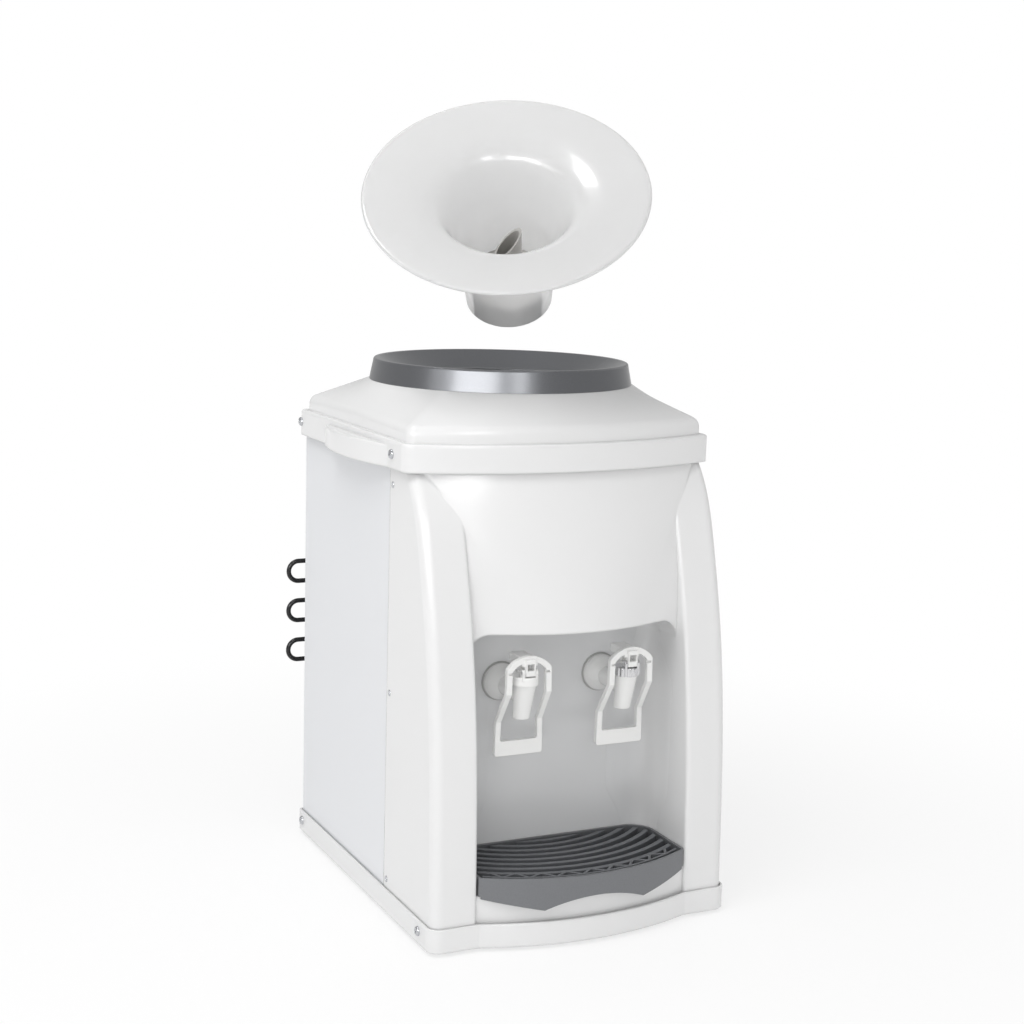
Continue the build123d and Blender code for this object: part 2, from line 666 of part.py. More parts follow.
def outlet_hose(side):
    """Hose from a tank outlet to the back of a tap."""
    x = side * TAP_X
    points = [(x, OUTLET_Y, SHELF_Z - 2), (x, OUTLET_Y, TAP_Z), (x, SHANK_END_Y + 0.4, TAP_Z)]
    return pipe(points, HOSE_BEND_R, HOSE_R, OUTLET_R + 0.1)


# Taps

def skew_cone(x, low, low_r, high, high_r):
    """Tapered plug from the raked spout tip at height low up to the barrel's axis at height high."""
    tip = Pos(x, SPOUT_Y + SPOUT_RAKE, low) * Circle(low_r)
    return loft([tip, Pos(x, SPOUT_Y, high) * Circle(high_r)])


def tap_body(side):
    """Tap moulding: bell flange, shank, level arm, barrel and raked spout, bored through."""
    x = side * TAP_X
    wall = NICHE_BACK_Y - GASKET_T
    flange = turned_along_y((
        (0, 0), (FLANGE_R, 0), (FLANGE_R, 3.5), (FLANGE_R - 1.4, 7.0), (FLANGE_R - 4, 11.0),
        (ARM_R + 0.6, FLANGE_T), (0, FLANGE_T)), x, wall, TAP_Z)
    body = flange + rod(SHANK_R, (x, wall - 1, TAP_Z), SHANK_END_Y - wall + 1, "y")
    body += rod(OUTLET_R, (x, SHANK_END_Y - 1, TAP_Z), BARB_END_Y - SHANK_END_Y + 1, "y")
    body += rod(ARM_R, (x, SPOUT_Y, TAP_Z - 0.5), wall - SPOUT_Y - 4, "y")
    body += skew_cone(x, SPOUT_BOTTOM, SPOUT_TIP_R, BARREL_TOP, BARREL_R)
    body -= skew_cone(x, SPOUT_BOTTOM, SPOUT_TIP_R - 1.8, BARREL_FLOOR, 3.2)
    body -= disc(BARREL_BORE_R, CAP_TOP, x, SPOUT_Y, BARREL_FLOOR)
    body -= disc(CAP_R + 0.2, CAP_TOP, x, SPOUT_Y, BARREL_TOP)
    return body - rod(OUTLET_BORE_R, (x, SPOUT_Y, TAP_Z), BARB_END_Y - SPOUT_Y + 1, "y")


def tap_gasket(side):
    """Soft ring between tap flange and niche wall."""
    ring = rod(FLANGE_R + 1.2, (side * TAP_X, NICHE_BACK_Y - GASKET_T, TAP_Z), GASKET_T, "y")
    return ring - rod(SHANK_R, (side * TAP_X, NICHE_BACK_Y - 5, TAP_Z), 10, "y")


def tap_nut(side):
    """Hexagon nut that clamps the tap from behind the niche wall."""
    start = NICHE_BACK_Y + TAP_PANEL_T
    back = Plane((side * TAP_X, start, TAP_Z), x_dir=(1, 0, 0), z_dir=(0, 1, 0))
    return extrude(back * (RegularPolygon(13.5, 6) - Circle(SHANK_R)), 7.0)


def tap_cap(side):
    """Screw cap of the barrel with two ears for the lever pin."""
    x = side * TAP_X
    cap = disc(CAP_R, CAP_TOP - BARREL_TOP, x, SPOUT_Y, BARREL_TOP)
    cap = fillet(cap.faces().sort_by(Axis.Z)[-1].edges(), 1.0)
    cap -= disc(STEM_R + RUN_GAP, 30, x, SPOUT_Y, BARREL_TOP - 5)
    ear_t = EAR_OUT - EAR_IN
    for ear in (-1, 1):
        middle = x + ear * (EAR_IN + EAR_OUT) / 2
        root = Box(ear_t, 2 * EAR_R - 1.2, PIVOT_Z - CAP_TOP + 3, align=UP)
        cap += Pos(middle, PIVOT_Y, CAP_TOP - 3) * root
        cap += rod(EAR_R, (middle - ear_t / 2, PIVOT_Y, PIVOT_Z), ear_t, "x")
    return cap - rod(PIN_R, (x - 20, PIVOT_Y, PIVOT_Z), 40, "x")


def lever_pin(side):
    """Pin on which the lever rocks."""
    return rod(PIN_R, (side * TAP_X - EAR_OUT, PIVOT_Y, PIVOT_Z), 2 * EAR_OUT, "x")


def tap_plunger(side):
    """Stem with a lifting head at the top and a valve shoulder in the barrel."""
    low, head = BARREL_FLOOR + 1.2, PIVOT_Z + 1.8
    shoulder = ((0, low), (SHOULDER_R, low), (SHOULDER_R, low + 2), (STEM_R, low + 2))
    knob = (
        (STEM_R, head), (STEM_HEAD_R, head), (STEM_HEAD_R, head + 1.2), (STEM_HEAD_R - 1.4, head + 2.6),
        (0, head + 2.6))
    return turned((*shoulder, *knob), side * TAP_X, SPOUT_Y)


def valve_seal(side):
    """Soft disc under the plunger that closes the spout."""
    return disc(SEAL_R, 1.1, side * TAP_X, SPOUT_Y, BARREL_FLOOR + 0.05)


def tap_spring(side):
    """Return spring between the plunger's shoulder and the cap."""
    low = BARREL_FLOOR + 3.3 + SPRING_WIRE_R
    height = BARREL_TOP - 0.1 - SPRING_WIRE_R - low
    path = Pos(side * TAP_X, SPOUT_Y, low) * Helix(height / SPRING_TURNS, height, SPRING_R)
    return sweep(Plane(path @ 0, z_dir=path % 0) * Circle(SPRING_WIRE_R), path=path, is_frenet=True)


def lever_frame():
    """Arched frame of a lever, cranked back from the arch to the push plate."""
    half, foot = LEVER_W / 2, LEVER_FOOT_W / 2
    inner, inner_foot = half - LEVER_ARM, foot - LEVER_ARM
    thick = LEVER_T / 2
    line = (
        (LEVER_FRONT_Y, LEVER_TOP + 5), (LEVER_FRONT_Y, CRANK_HIGH),
        (LEVER_BACK_Y, CRANK_LOW), (LEVER_BACK_Y, LEVER_BOTTOM))
    side_view = make_face(Polyline(
        *[(y - thick, z) for y, z in line], *[(y + thick, z) for y, z in reversed(line)], close=True))
    ribbon = extrude(Plane.YZ * side_view, foot, both=True)
    shoulder = LEVER_TOP - LEVER_ARCH
    outline = closed(
        Polyline((-half, shoulder), (-foot, LEVER_BOTTOM), (foot, LEVER_BOTTOM), (half, shoulder)),
        ThreePointArc((half, shoulder), (0, LEVER_TOP), (-half, shoulder)))
    outline = fillet(outline.vertices(), 2.5)
    sill = LEVER_BOTTOM + LEVER_PLATE
    window = closed(
        Polyline((-inner, shoulder - 2), (-inner_foot, sill), (inner_foot, sill), (inner, shoulder - 2)),
        ThreePointArc((inner, shoulder - 2), (0, LEVER_TOP - LEVER_ARM), (-inner, shoulder - 2)))
    window = fillet(window.vertices().group_by(Axis.Y)[0], 2.0)
    front = Plane((0, 0, 0), x_dir=(1, 0, 0), z_dir=(0, -1, 0))
    return ribbon & extrude(front * (outline - window), 300, both=True)


def tap_lever(side):
    """Push lever: cranked frame with a hub on the pin, a hood over the stem and a fork that lifts it."""
    front_y = LEVER_FRONT_Y - LEVER_T / 2
    hub_front, hub_back = PIVOT_Y - 3.6, PIVOT_Y + 2.8
    hub = Pos(0, (hub_front + hub_back) / 2, PIVOT_Z - 2.6) * Box(
        2 * HUB_HALF, hub_back - hub_front, LEVER_TOP - 3 - PIVOT_Z + 2.6, align=UP)
    hood_low = PIVOT_Z + 6
    hood = Pos(0, (front_y + HOOD_BACK_Y) / 2, hood_low) * Box(
        2 * HOOD_HALF, HOOD_BACK_Y - front_y, LEVER_TOP - 1.6 - hood_low, align=UP)
    hood = fillet(hood.edges().filter_by(Axis.Y).group_by(Axis.Z)[-1], 1.5)
    fork_front, fork_back = PIVOT_Y + EAR_R + 0.4, SPOUT_Y + 1
    fork = Pos(0, (fork_front + fork_back) / 2, PIVOT_Z - 1) * Box(14, fork_back - fork_front, 2, align=UP)
    slot_front = SPOUT_Y - STEM_R - 0.9
    neck = Box(2 * HUB_HALF, slot_front - PIVOT_Y, 2, align=UP)
    neck = Pos(0, (PIVOT_Y + slot_front) / 2, PIVOT_Z - 1) * neck
    slot = Pos(0, slot_front, PIVOT_Z - 5) * Box(
        2 * STEM_R + 1.4, 20, 10, align=(Align.CENTER, Align.MIN, Align.MIN))
    lever = lever_frame() + hub + hood + neck + (fork - slot)
    window = Pos(0, hub_front - 1, PIVOT_Z + 2.2) * Box(
        6.6, hub_back - hub_front + 1.2, 6, align=(Align.CENTER, Align.MIN, Align.MIN))
    lever -= window + rod(PIN_R + RUN_GAP, (-20, PIVOT_Y, PIVOT_Z), 40, "x")
    return Pos(side * TAP_X, 0, 0) * lever


# Drip tray

def tray_outline(inset):
    """Plan of the drip tray: rounded rear corners and a bowed front."""
    half = TRAY_HALF_W - inset
    corner, rear = TRAY_CORNER_Y, TRAY_REAR_Y - inset
    face = closed(
        Polyline((-half, corner), (-half, rear), (half, rear), (half, corner)),
        ThreePointArc((half, corner), (0, TRAY_APEX_Y + inset), (-half, corner)))
    return fillet(face.vertices().group_by(Axis.Y)[-1], TRAY_REAR_R - inset)


def bow_radius():
    """Radius of the tray's bowed front."""
    sag = TRAY_CORNER_Y - TRAY_APEX_Y
    return (TRAY_HALF_W ** 2 + sag ** 2) / (2 * sag)


def drip_tray():
    """Basin with a hanging apron whose lower edge has two tips and an arch."""
    body = Pos(0, 0, TRAY_BOTTOM) * extrude(tray_outline(0), TRAY_TOP - TRAY_BOTTOM)
    band = tray_outline(0) - tray_outline(WALL + 0.5)
    apron = Pos(0, 0, APRON_TIP_Z) * extrude(band, TRAY_BOTTOM - APRON_TIP_Z + 1)
    apron -= Pos(0, TRAY_CORNER_Y - 1, 0) * Box(400, 400, 400, align=(Align.CENTER, Align.MIN, Align.CENTER))
    front = Plane((0, 0, 0), x_dir=(1, 0, 0), z_dir=(0, -1, 0))
    half = TRAY_HALF_W + 1
    below = APRON_TIP_Z - 10
    edge = closed(
        Polyline((-APRON_TIP_X, APRON_TIP_Z), (-half, APRON_END_Z), (-half, below), (half, below),
                 (half, APRON_END_Z), (APRON_TIP_X, APRON_TIP_Z)),
        ThreePointArc((APRON_TIP_X, APRON_TIP_Z), (0, APRON_ARCH_Z), (-APRON_TIP_X, APRON_TIP_Z)))
    apron -= extrude(front * edge, 300, both=True)
    body += apron
    body -= Pos(0, 0, TRAY_BOTTOM + WALL) * extrude(tray_outline(WALL), TRAY_TOP)
    return body


def drip_grille():
    """Bowed slats on three ribs, with a zigzag truss along the front."""
    reach = bow_radius()
    centre_y = TRAY_APEX_Y + reach
    clip = extrude(tray_outline(WALL + 3.0), 100)
    front_r = reach - WALL - 3.0
    arcs = [front_r - 1.2, front_r - TRUSS_DEPTH]
    widths = [2.4, SLAT_W]
    for step in range(1, SLATS + 1):
        arcs.append(front_r - TRUSS_DEPTH - step * SLAT_PITCH)
        widths.append(SLAT_W)
    plan = Sketch()
    for radius, width in zip(arcs, widths):
        plan += Pos(0, centre_y) * (Circle(radius + width / 2) - Circle(radius - width / 2))
    half_angle = 29.0
    points = []
    for bay in range(TRUSS_BAYS + 1):
        angle = radians(270 + half_angle * (2 * bay / TRUSS_BAYS - 1))
        radius = front_r - 1.2 if bay % 2 else front_r - TRUSS_DEPTH
        points.append((radius * cos(angle), centre_y + radius * sin(angle)))
    plan += trace(Polyline(*points), 2.4)
    grille = (Pos(0, 0, GRILLE_TOP - SLAT_H) * extrude(plan, SLAT_H)) & clip
    front_y = centre_y - front_r
    for x in (-58.0, 0.0, 58.0):
        rear_y = TRAY_REAR_Y - WALL - 6
        rib = Pos(x, (front_y + 14 + rear_y) / 2, TRAY_BOTTOM + WALL + 0.2) * Box(
            3, rear_y - front_y - 14, GRILLE_TOP - SLAT_H - TRAY_BOTTOM - WALL + 1, align=UP)
        grille += rib
    return grille


# Cooling set

def compressor():
    """Hermetic can: drawn lower cup and domed top joined by a welded seam."""
    r = COMPRESSOR_R
    low, seam, top = PLATE_Z + 4.0, 96.0, 168.0
    face = closed(
        Polyline((0, low), (r * 0.55, low)),
        ThreePointArc((r * 0.55, low), (r * 0.9, low + 12), (r - 3, low + 34)),
        Polyline(
            (r - 3, low + 34), (r - 3, seam), (r + 3, seam), (r + 3, seam + 3), (r - 2, seam + 3),
            (r - 2, top - 34)),
        ThreePointArc((r - 2, top - 34), (r * 0.72, top - 11), (r * 0.2, top)),
        Polyline((r * 0.2, top), (0, top), (0, low)))
    can = Pos(COMPRESSOR_X, COMPRESSOR_Y, 0) * revolve(Plane.XZ * face, Axis.Z)
    terminal = Pos(COMPRESSOR_X, COMPRESSOR_Y - r - 2, 60) * Box(40, 34, 44)
    return can + terminal


def compressor_plate():
    """Pressed plate under the compressor, held by four grommets."""
    plate = Pos(COMPRESSOR_X, COMPRESSOR_Y, PLATE_Z) * Box(168, 110, 4, align=UP)
    plate = fillet(plate.edges().filter_by(Axis.Z), 12)
    for x, y in grommet_places():
        plate -= disc(6.0, 10, x, y, PLATE_Z - 2)
    return plate


def grommet_places():
    """Centres of the compressor's rubber mounts."""
    return [(COMPRESSOR_X + sx * 72, COMPRESSOR_Y + sy * 42) for sx in (-1, 1) for sy in (-1, 1)]


def compressor_grommets():
    """Rubber mounts that hold the plate above the base floor."""
    high = PLATE_Z + 4
    points = (
        (2.5, BASE_FLOOR), (9, BASE_FLOOR), (9, PLATE_Z), (6, PLATE_Z), (6, high), (9, high), (8, high + 4),
        (2.5, high + 4))
    return Compound([turned(points, x, y) for x, y in grommet_places()])


def filter_drier():
    """Copper drier between condenser and coil."""
    r, neck, low, top = 9.0, 3.5, DRIER_LOW, DRIER_TOP
    return turned((
        (0, low), (neck, low), (neck, low + 7), (r, low + 14), (r, top - 18), (neck, top - 10),
        (neck, top), (0, top)), DRIER_X, DRIER_Y)


def condenser_tube():
    """Serpentine tube behind the cabinet, with both ends led in through the rear sheet."""
    x, y = CONDENSER_EXIT_X, CONDENSER_Y
    points = [(x, DRIER_Y, DRIER_LOW), (x, DRIER_Y, CONDENSER_LOW_EXIT_Z), (x, y, CONDENSER_LOW_EXIT_Z)]
    points.append((x, y, CONDENSER_LOW_Z))
    for run in range(CONDENSER_RUNS):
        z = CONDENSER_LOW_Z + run * CONDENSER_PITCH
        ends = (1, -1) if run % 2 == 0 else (-1, 1)
        first, last = run == 0, run == CONDENSER_RUNS - 1
        if not first:
            points.append((ends[0] * CONDENSER_HALF_W, y, z))
        points.append((x if last else ends[1] * CONDENSER_HALF_W, y, z))
    points += [(x, y, CONDENSER_HIGH_EXIT_Z), (x, DISCHARGE_Y, CONDENSER_HIGH_EXIT_Z)]
    points.append((x, DISCHARGE_Y, CONDENSER_HIGH_EXIT_Z - 18))
    return pipe(points, CONDENSER_PITCH / 2 - 0.05, CONDENSER_R)


def condenser_wires():
    """Straight wires welded across the runs, on both faces of the serpentine."""
    low = CONDENSER_LOW_Z - 8
    length = (CONDENSER_RUNS - 1) * CONDENSER_PITCH + 16
    offset = CONDENSER_R + WIRE_R - 0.2
    wires = []
    for face in (-1, 1):
        for step in range(WIRE_COUNT):
            x = (step - (WIRE_COUNT - 1) / 2) * WIRE_PITCH
            wires.append(disc(WIRE_R, length, x, CONDENSER_Y + face * offset, low))
    return Compound(wires)


def bracket_screw_z(arm_z):
    """Height of the screw in a condenser bracket's foot."""
    return arm_z - 9 if arm_z < 200 else arm_z + 10


def condenser_brackets():
    """Four angle brackets that hold the outer runs away from the rear sheet."""
    brackets = []
    length = CONDENSER_Y + CONDENSER_R - REAR_PANEL_Y
    for x in (-BRACKET_X, BRACKET_X):
        for arm_z in bracket_heights():
            screw_z = bracket_screw_z(arm_z)
            low, high = min(arm_z, screw_z - 7), max(arm_z + BRACKET_T, screw_z + 7)
            arm = Box(BRACKET_W, length, BRACKET_T, align=UP)
            foot = Box(BRACKET_W, BRACKET_T, high - low, align=UP)
            bracket = Pos(x, REAR_PANEL_Y + length / 2, arm_z) * arm
            bracket += Pos(x, REAR_PANEL_Y + BRACKET_T / 2, low) * foot
            brackets.append(bracket - rod(SCREW_R + RUN_GAP, (x, REAR_PANEL_Y - 2, screw_z), 6, "y"))
    return Compound(brackets)


def thermostat():
    """Thermostat switch inside the rear sheet, with its shaft led out."""
    inside = REAR_PANEL_Y - SHEET
    box = fillet(Box(34, 26, 44).edges().filter_by(Axis.Y), 3)
    box = Pos(THERMOSTAT_X, inside - 13, THERMOSTAT_Z) * box
    return box + rod(SHAFT_R, (THERMOSTAT_X, inside - 1, THERMOSTAT_Z), SHAFT_LENGTH + 1, "y")


def thermostat_knob():
    """Knob on the thermostat shaft: a round skirt with a grip bar across it."""
    start = REAR_PANEL_Y + 0.6
    x, z = THERMOSTAT_X, THERMOSTAT_Z
    knob = rod(13.0, (x, start, z), 4.0, "y") + Pos(x, start + 6, z) * Box(7, 11, 24)
    return knob - rod(SHAFT_R + RUN_GAP, (x, start - 1, z), SHAFT_LENGTH, "y")


def cord_gland():
    """Bush in the rear sheet for the mains lead."""
    x, z = GLAND_X, GLAND_Z
    bush = rod(10.0, (x, REAR_PANEL_Y, z), 3.0, "y") + rod(6.95, (x, REAR_PANEL_Y - 5, z), 6, "y")
    return bush - rod(GLAND_BORE_R, (x, REAR_PANEL_Y - 10, z), 20, "y")


# Fasteners

def side_screws(places):
    """Pan-head screws driven inwards through a side wall."""
    screw = turned((
        (0, -SCREW_LENGTH), (SCREW_R, -SCREW_LENGTH), (SCREW_R, 0), (SCREW_HEAD_R, 0),
        (SCREW_HEAD_R - 0.5, SCREW_HEAD_H * 0.7), (SCREW_HEAD_R - 2, SCREW_HEAD_H), (0, SCREW_HEAD_H)))
    return Compound([Pos(x, y, z) * Rot(0, 90 if x > 0 else -90, 0) * screw for x, y, z in places])


def panel_rivets():
    """Flat push rivets along the seam between front moulding and side sheets."""
    rivet = turned((
        (0, -5), (SCREW_R, -5), (SCREW_R, 0), (3.0, 0), (2.4, 0.7), (0.9, 0.7), (0.6, 0.1), (0, 0.1)))
    return Compound([Pos(x, y, z) * Rot(0, 90 if x > 0 else -90, 0) * rivet for x, y, z in rivet_places()])


def rear_screws():
    """Pan-head screws of the rear sheet and of the condenser brackets."""
    places = [(x, REAR_PANEL_Y, z) for x, z in rear_screw_places()]
    for x in (-BRACKET_X, BRACKET_X):
        places += [(x, REAR_PANEL_Y + BRACKET_T, bracket_screw_z(z)) for z in bracket_heights()]
    points = ((0, -6), (SCREW_R, -6), (SCREW_R, 0), (3.8, 0), (3.2, 1.6), (1.8, 2.2), (0, 2.2))
    return Compound([Pos(x, y, z) * Rot(-90, 0, 0) * turned(points) for x, y, z in places])


def all_parts():
    """Every piece by name."""
    parts = {
        "base_tray": base_tray(),
        "rubber_feet": rubber_feet(),
        "left_side_panel": side_sheet(-1),
        "right_side_panel": side_sheet(1),
        "rear_panel": rear_panel(),
        "front_panel": front_panel(),
        "tap_panel": tap_panel(),
        "top_cover": top_cover(),
        "collar_ring": collar_ring(),
        "bottle_funnel": bottle_funnel(),
        "bottle_spike": bottle_spike(),
        "water_tank": water_tank(),
        "tank_floor": tank_floor(),
        "tank_insulation": tank_insulation(),
        "insulation_pad": insulation_pad(),
        "evaporator_coil": evaporator_coil(),
        "tank_shelf": tank_shelf(),
        "compressor": compressor(),
        "compressor_plate": compressor_plate(),
        "compressor_grommets": compressor_grommets(),
        "filter_drier": filter_drier(),
        "liquid_line": liquid_line(),
        "suction_line": suction_line(),
        "discharge_line": discharge_line(),
        "condenser_tube": condenser_tube(),
        "condenser_wires": condenser_wires(),
        "condenser_brackets": condenser_brackets(),
        "thermostat": thermostat(),
        "thermostat_knob": thermostat_knob(),
        "cord_gland": cord_gland(),
        "drip_tray": drip_tray(),
        "drip_grille": drip_grille(),
        "cover_screws": side_screws(screw_places_cover()),
        "base_screws": side_screws(screw_places_base()),
        "panel_rivets": panel_rivets(),
        "rear_screws": rear_screws(),
    }
    for name, side in (("left", -1), ("right", 1)):
        parts[f"{name}_outlet_hose"] = outlet_hose(side)
        parts[f"{name}_tap_body"] = tap_body(side)
        parts[f"{name}_tap_gasket"] = tap_gasket(side)
        parts[f"{name}_tap_nut"] = tap_nut(side)
        parts[f"{name}_tap_cap"] = tap_cap(side)
        parts[f"{name}_tap_plunger"] = tap_plunger(side)
        parts[f"{name}_valve_seal"] = valve_seal(side)
        parts[f"{name}_tap_spring"] = tap_spring(side)
        parts[f"{name}_tap_lever"] = tap_lever(side)
        parts[f"{name}_lever_pin"] = lever_pin(side)
    return parts


for part_name, part_shape in all_parts().items():
    export_step(part_shape, f"parts/{part_name}.step")
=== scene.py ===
import json
import logging
import math
from dataclasses import dataclass, field, replace
from enum import Enum
from typing import Callable, Iterable, Sequence

import bmesh
import bpy
from mathutils import Matrix, Vector


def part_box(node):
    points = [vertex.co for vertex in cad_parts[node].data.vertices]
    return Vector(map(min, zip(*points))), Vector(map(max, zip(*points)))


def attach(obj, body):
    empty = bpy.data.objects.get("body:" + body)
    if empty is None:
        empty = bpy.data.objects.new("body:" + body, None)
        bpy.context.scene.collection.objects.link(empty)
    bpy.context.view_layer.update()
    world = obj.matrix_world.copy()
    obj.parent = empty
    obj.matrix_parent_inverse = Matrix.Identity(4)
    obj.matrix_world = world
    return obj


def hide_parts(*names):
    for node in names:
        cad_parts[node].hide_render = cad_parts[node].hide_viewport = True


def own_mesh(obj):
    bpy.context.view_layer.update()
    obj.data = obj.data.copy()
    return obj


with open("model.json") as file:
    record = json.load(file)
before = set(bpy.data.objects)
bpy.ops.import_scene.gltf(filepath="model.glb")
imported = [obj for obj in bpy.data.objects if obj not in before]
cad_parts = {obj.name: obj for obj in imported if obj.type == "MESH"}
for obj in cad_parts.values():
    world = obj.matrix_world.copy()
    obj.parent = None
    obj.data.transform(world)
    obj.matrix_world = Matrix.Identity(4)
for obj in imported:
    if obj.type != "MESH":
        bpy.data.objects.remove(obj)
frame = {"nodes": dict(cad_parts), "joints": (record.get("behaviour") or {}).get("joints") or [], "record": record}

LOG = logging.getLogger("dispenser")
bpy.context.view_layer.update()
Colour = tuple[float, float, float]
Point = tuple[float, float, float]
Span = tuple[float, float]
Tree = bpy.types.NodeTree
Socket = bpy.types.NodeSocket
MM = 0.001
SAME_POINT = 0.001 * MM


class Sheen(Enum):
    """How a surface throws light back."""

    GLOSS = "gloss moulding"
    SATIN = "satin moulding"
    FLAKE = "moulding with metal flake"
    METAL = "bare metal"
    PAINT = "coated metal"
    SOFT = "rubber or foam"
    MILKY = "cloudy plastic"


@dataclass(frozen=True)
class Finish:
    """One surface finish of the dispenser.

    Attributes:
        name: the material's name, which is its slot in the record.
        sheen: the family of the surface.
        colour: linear base colour.
        roughness: middle roughness.
        metallic: share of metal in the surface.
        grain: height of the surface grain in metres.
        grain_scale: grains per metre.
        mottle: share by which the colour drifts over the surface.
        edge: radius in metres by which edges look broken.
        cloud: weight of light that scatters inside.
        depth: how far that light travels, in metres.
        clear: weight of light that passes through.
        coat: weight of the clear coat.
        coat_roughness: roughness of the clear coat.
        fade: colour that the finish runs into, if any; it paints light or shade, such as a paler neck that looks
            lit through, or the white past the niche's partly painted-shade grey.
        painted_light_along: direction in which it does so.
        painted_light_span: distances from the middle, that way, where it starts and ends, in metres.
    """

    name: str
    sheen: Sheen
    colour: Colour
    roughness: float
    metallic: float = 0.0
    grain: float = 0.00002
    grain_scale: float = 900.0
    mottle: float = 0.015
    edge: float = 0.0005
    cloud: float = 0.0
    depth: float = 0.004
    clear: float = 0.0
    coat: float = 0.0
    coat_roughness: float = 0.1
    fade: Colour | None = None
    painted_light_along: Point = (1.0, 0.0, 0.0)
    painted_light_span: Span = (0.0, 1.0)


FINISHES: dict[str, Finish] = {finish.name: finish for finish in (
    Finish("shell_white", Sheen.GLOSS, (0.785, 0.785, 0.785), 0.18, grain=0.000012, edge=0.003, cloud=0.06),
    Finish("sheet_white", Sheen.PAINT, (0.76, 0.77, 0.79), 0.32, grain=0.00003, grain_scale=420.0),
    Finish("rear_sheet", Sheen.PAINT, (0.66, 0.67, 0.69), 0.38, grain=0.00003, grain_scale=420.0),
    # niche_grey is partly the rear panel's own light grey and partly painted shade: it is made darker to stand for
    # the shade in the niche.
    Finish("niche_grey", Sheen.SATIN, (0.68, 0.685, 0.69), 0.22, grain=0.000015),
    Finish(
        "collar_grey", Sheen.FLAKE, (0.180, 0.185, 0.196), 0.31, metallic=0.85, grain=0.00001, mottle=0.05,
        coat=0.4, coat_roughness=0.16),
    Finish("tray_grey", Sheen.FLAKE, (0.19, 0.195, 0.205), 0.40, metallic=0.35, mottle=0.06),
    Finish("grille_grey", Sheen.FLAKE, (0.135, 0.14, 0.15), 0.42, metallic=0.25, mottle=0.06),
    Finish(
        "funnel_milky", Sheen.MILKY, (0.635, 0.635, 0.635), 0.35, grain=0.000008, cloud=1.0, depth=0.032,
        coat=1.0, coat_roughness=0.12),
    Finish("spike_grey", Sheen.MILKY, (0.46, 0.45, 0.43), 0.24, cloud=0.4, clear=0.1),
    Finish("tap_white", Sheen.GLOSS, (0.83, 0.83, 0.82), 0.22, grain=0.00001, edge=0.0008, cloud=0.08),
    Finish("tap_chrome", Sheen.METAL, (0.66, 0.66, 0.67), 0.05, metallic=1.0, grain=0.000002, edge=0.0002),
    Finish("plunger_white", Sheen.SATIN, (0.76, 0.75, 0.73), 0.35),
    Finish("nut_grey", Sheen.SATIN, (0.5, 0.5, 0.5), 0.5),
    Finish("gasket_grey", Sheen.SOFT, (0.42, 0.42, 0.41), 0.6, grain=0.00004),
    Finish("rubber_black", Sheen.SOFT, (0.03, 0.03, 0.03), 0.7, grain=0.00006),
    Finish("pin_steel", Sheen.METAL, (0.58, 0.58, 0.58), 0.22, metallic=1.0),
    Finish("screw_steel", Sheen.METAL, (0.55, 0.56, 0.58), 0.18, metallic=1.0, grain=0.00001, edge=0.0002),
    Finish("tank_steel", Sheen.METAL, (0.62, 0.62, 0.62), 0.24, metallic=1.0),
    Finish("foam_white", Sheen.SOFT, (0.78, 0.78, 0.75), 0.85, grain=0.0006, grain_scale=260.0, mottle=0.08),
    Finish("copper", Sheen.METAL, (0.78, 0.42, 0.27), 0.24, metallic=1.0, mottle=0.12),
    Finish("zinc_sheet", Sheen.METAL, (0.52, 0.54, 0.56), 0.36, metallic=1.0, mottle=0.1),
    Finish("compressor_black", Sheen.PAINT, (0.018, 0.018, 0.02), 0.28, grain=0.00006, grain_scale=300.0),
    Finish("condenser_black", Sheen.PAINT, (0.012, 0.012, 0.013), 0.22),
    Finish("switch_black", Sheen.SATIN, (0.02, 0.02, 0.022), 0.45),
    Finish("hose_clear", Sheen.MILKY, (0.75, 0.76, 0.76), 0.35, clear=0.3),
)}
# The niche cove runs from that grey, partly painted shade, into the white of the moulding's side walls.
NICHE_COVE_TONE_AND_SHADE = replace(
    FINISHES["niche_grey"], fade=FINISHES["shell_white"].colour, painted_light_span=(0.080, 0.106))


def set_inputs(node: bpy.types.Node, values: dict[str, object]) -> None:
    """Set a node's inputs by name."""
    for label, value in values.items():
        node.inputs[label].default_value = value


def add_math(tree: Tree, operation: str, *values: object, clamp: bool = False) -> Socket:
    """Add one sum to a node tree.

    Args:
        tree: the tree to add to.
        operation: the Math node's operation.
        values: up to three numbers or sockets.
        clamp: whether the result stays between 0 and 1.

    Returns:
        The socket that holds the result.
    """
    node = tree.nodes.new("ShaderNodeMath")
    node.operation = operation
    node.use_clamp = clamp
    for slot, value in zip(node.inputs, values):
        if isinstance(value, Socket):
            tree.links.new(value, slot)
        else:
            slot.default_value = value
    return node.outputs[0]


def add_range(
        tree: Tree, value: Socket, source: Span = (0.0, 1.0), target: Span = (0.0, 1.0),
        smooth: bool = False) -> Socket:
    """Add a node that carries one span of values over to another.

    Args:
        tree: the tree to add to.
        value: the value's socket.
        source: the span that the value runs over.
        target: the span that the result runs over.
        smooth: whether it starts and ends gently.

    Returns:
        The socket that holds the result.
    """
    node = tree.nodes.new("ShaderNodeMapRange")
    node.interpolation_type = "SMOOTHSTEP" if smooth else "LINEAR"
    set_inputs(node, dict(zip(("From Min", "From Max", "To Min", "To Max"), (*source, *target))))
    tree.links.new(value, node.inputs["Value"])
    return node.outputs["Result"]


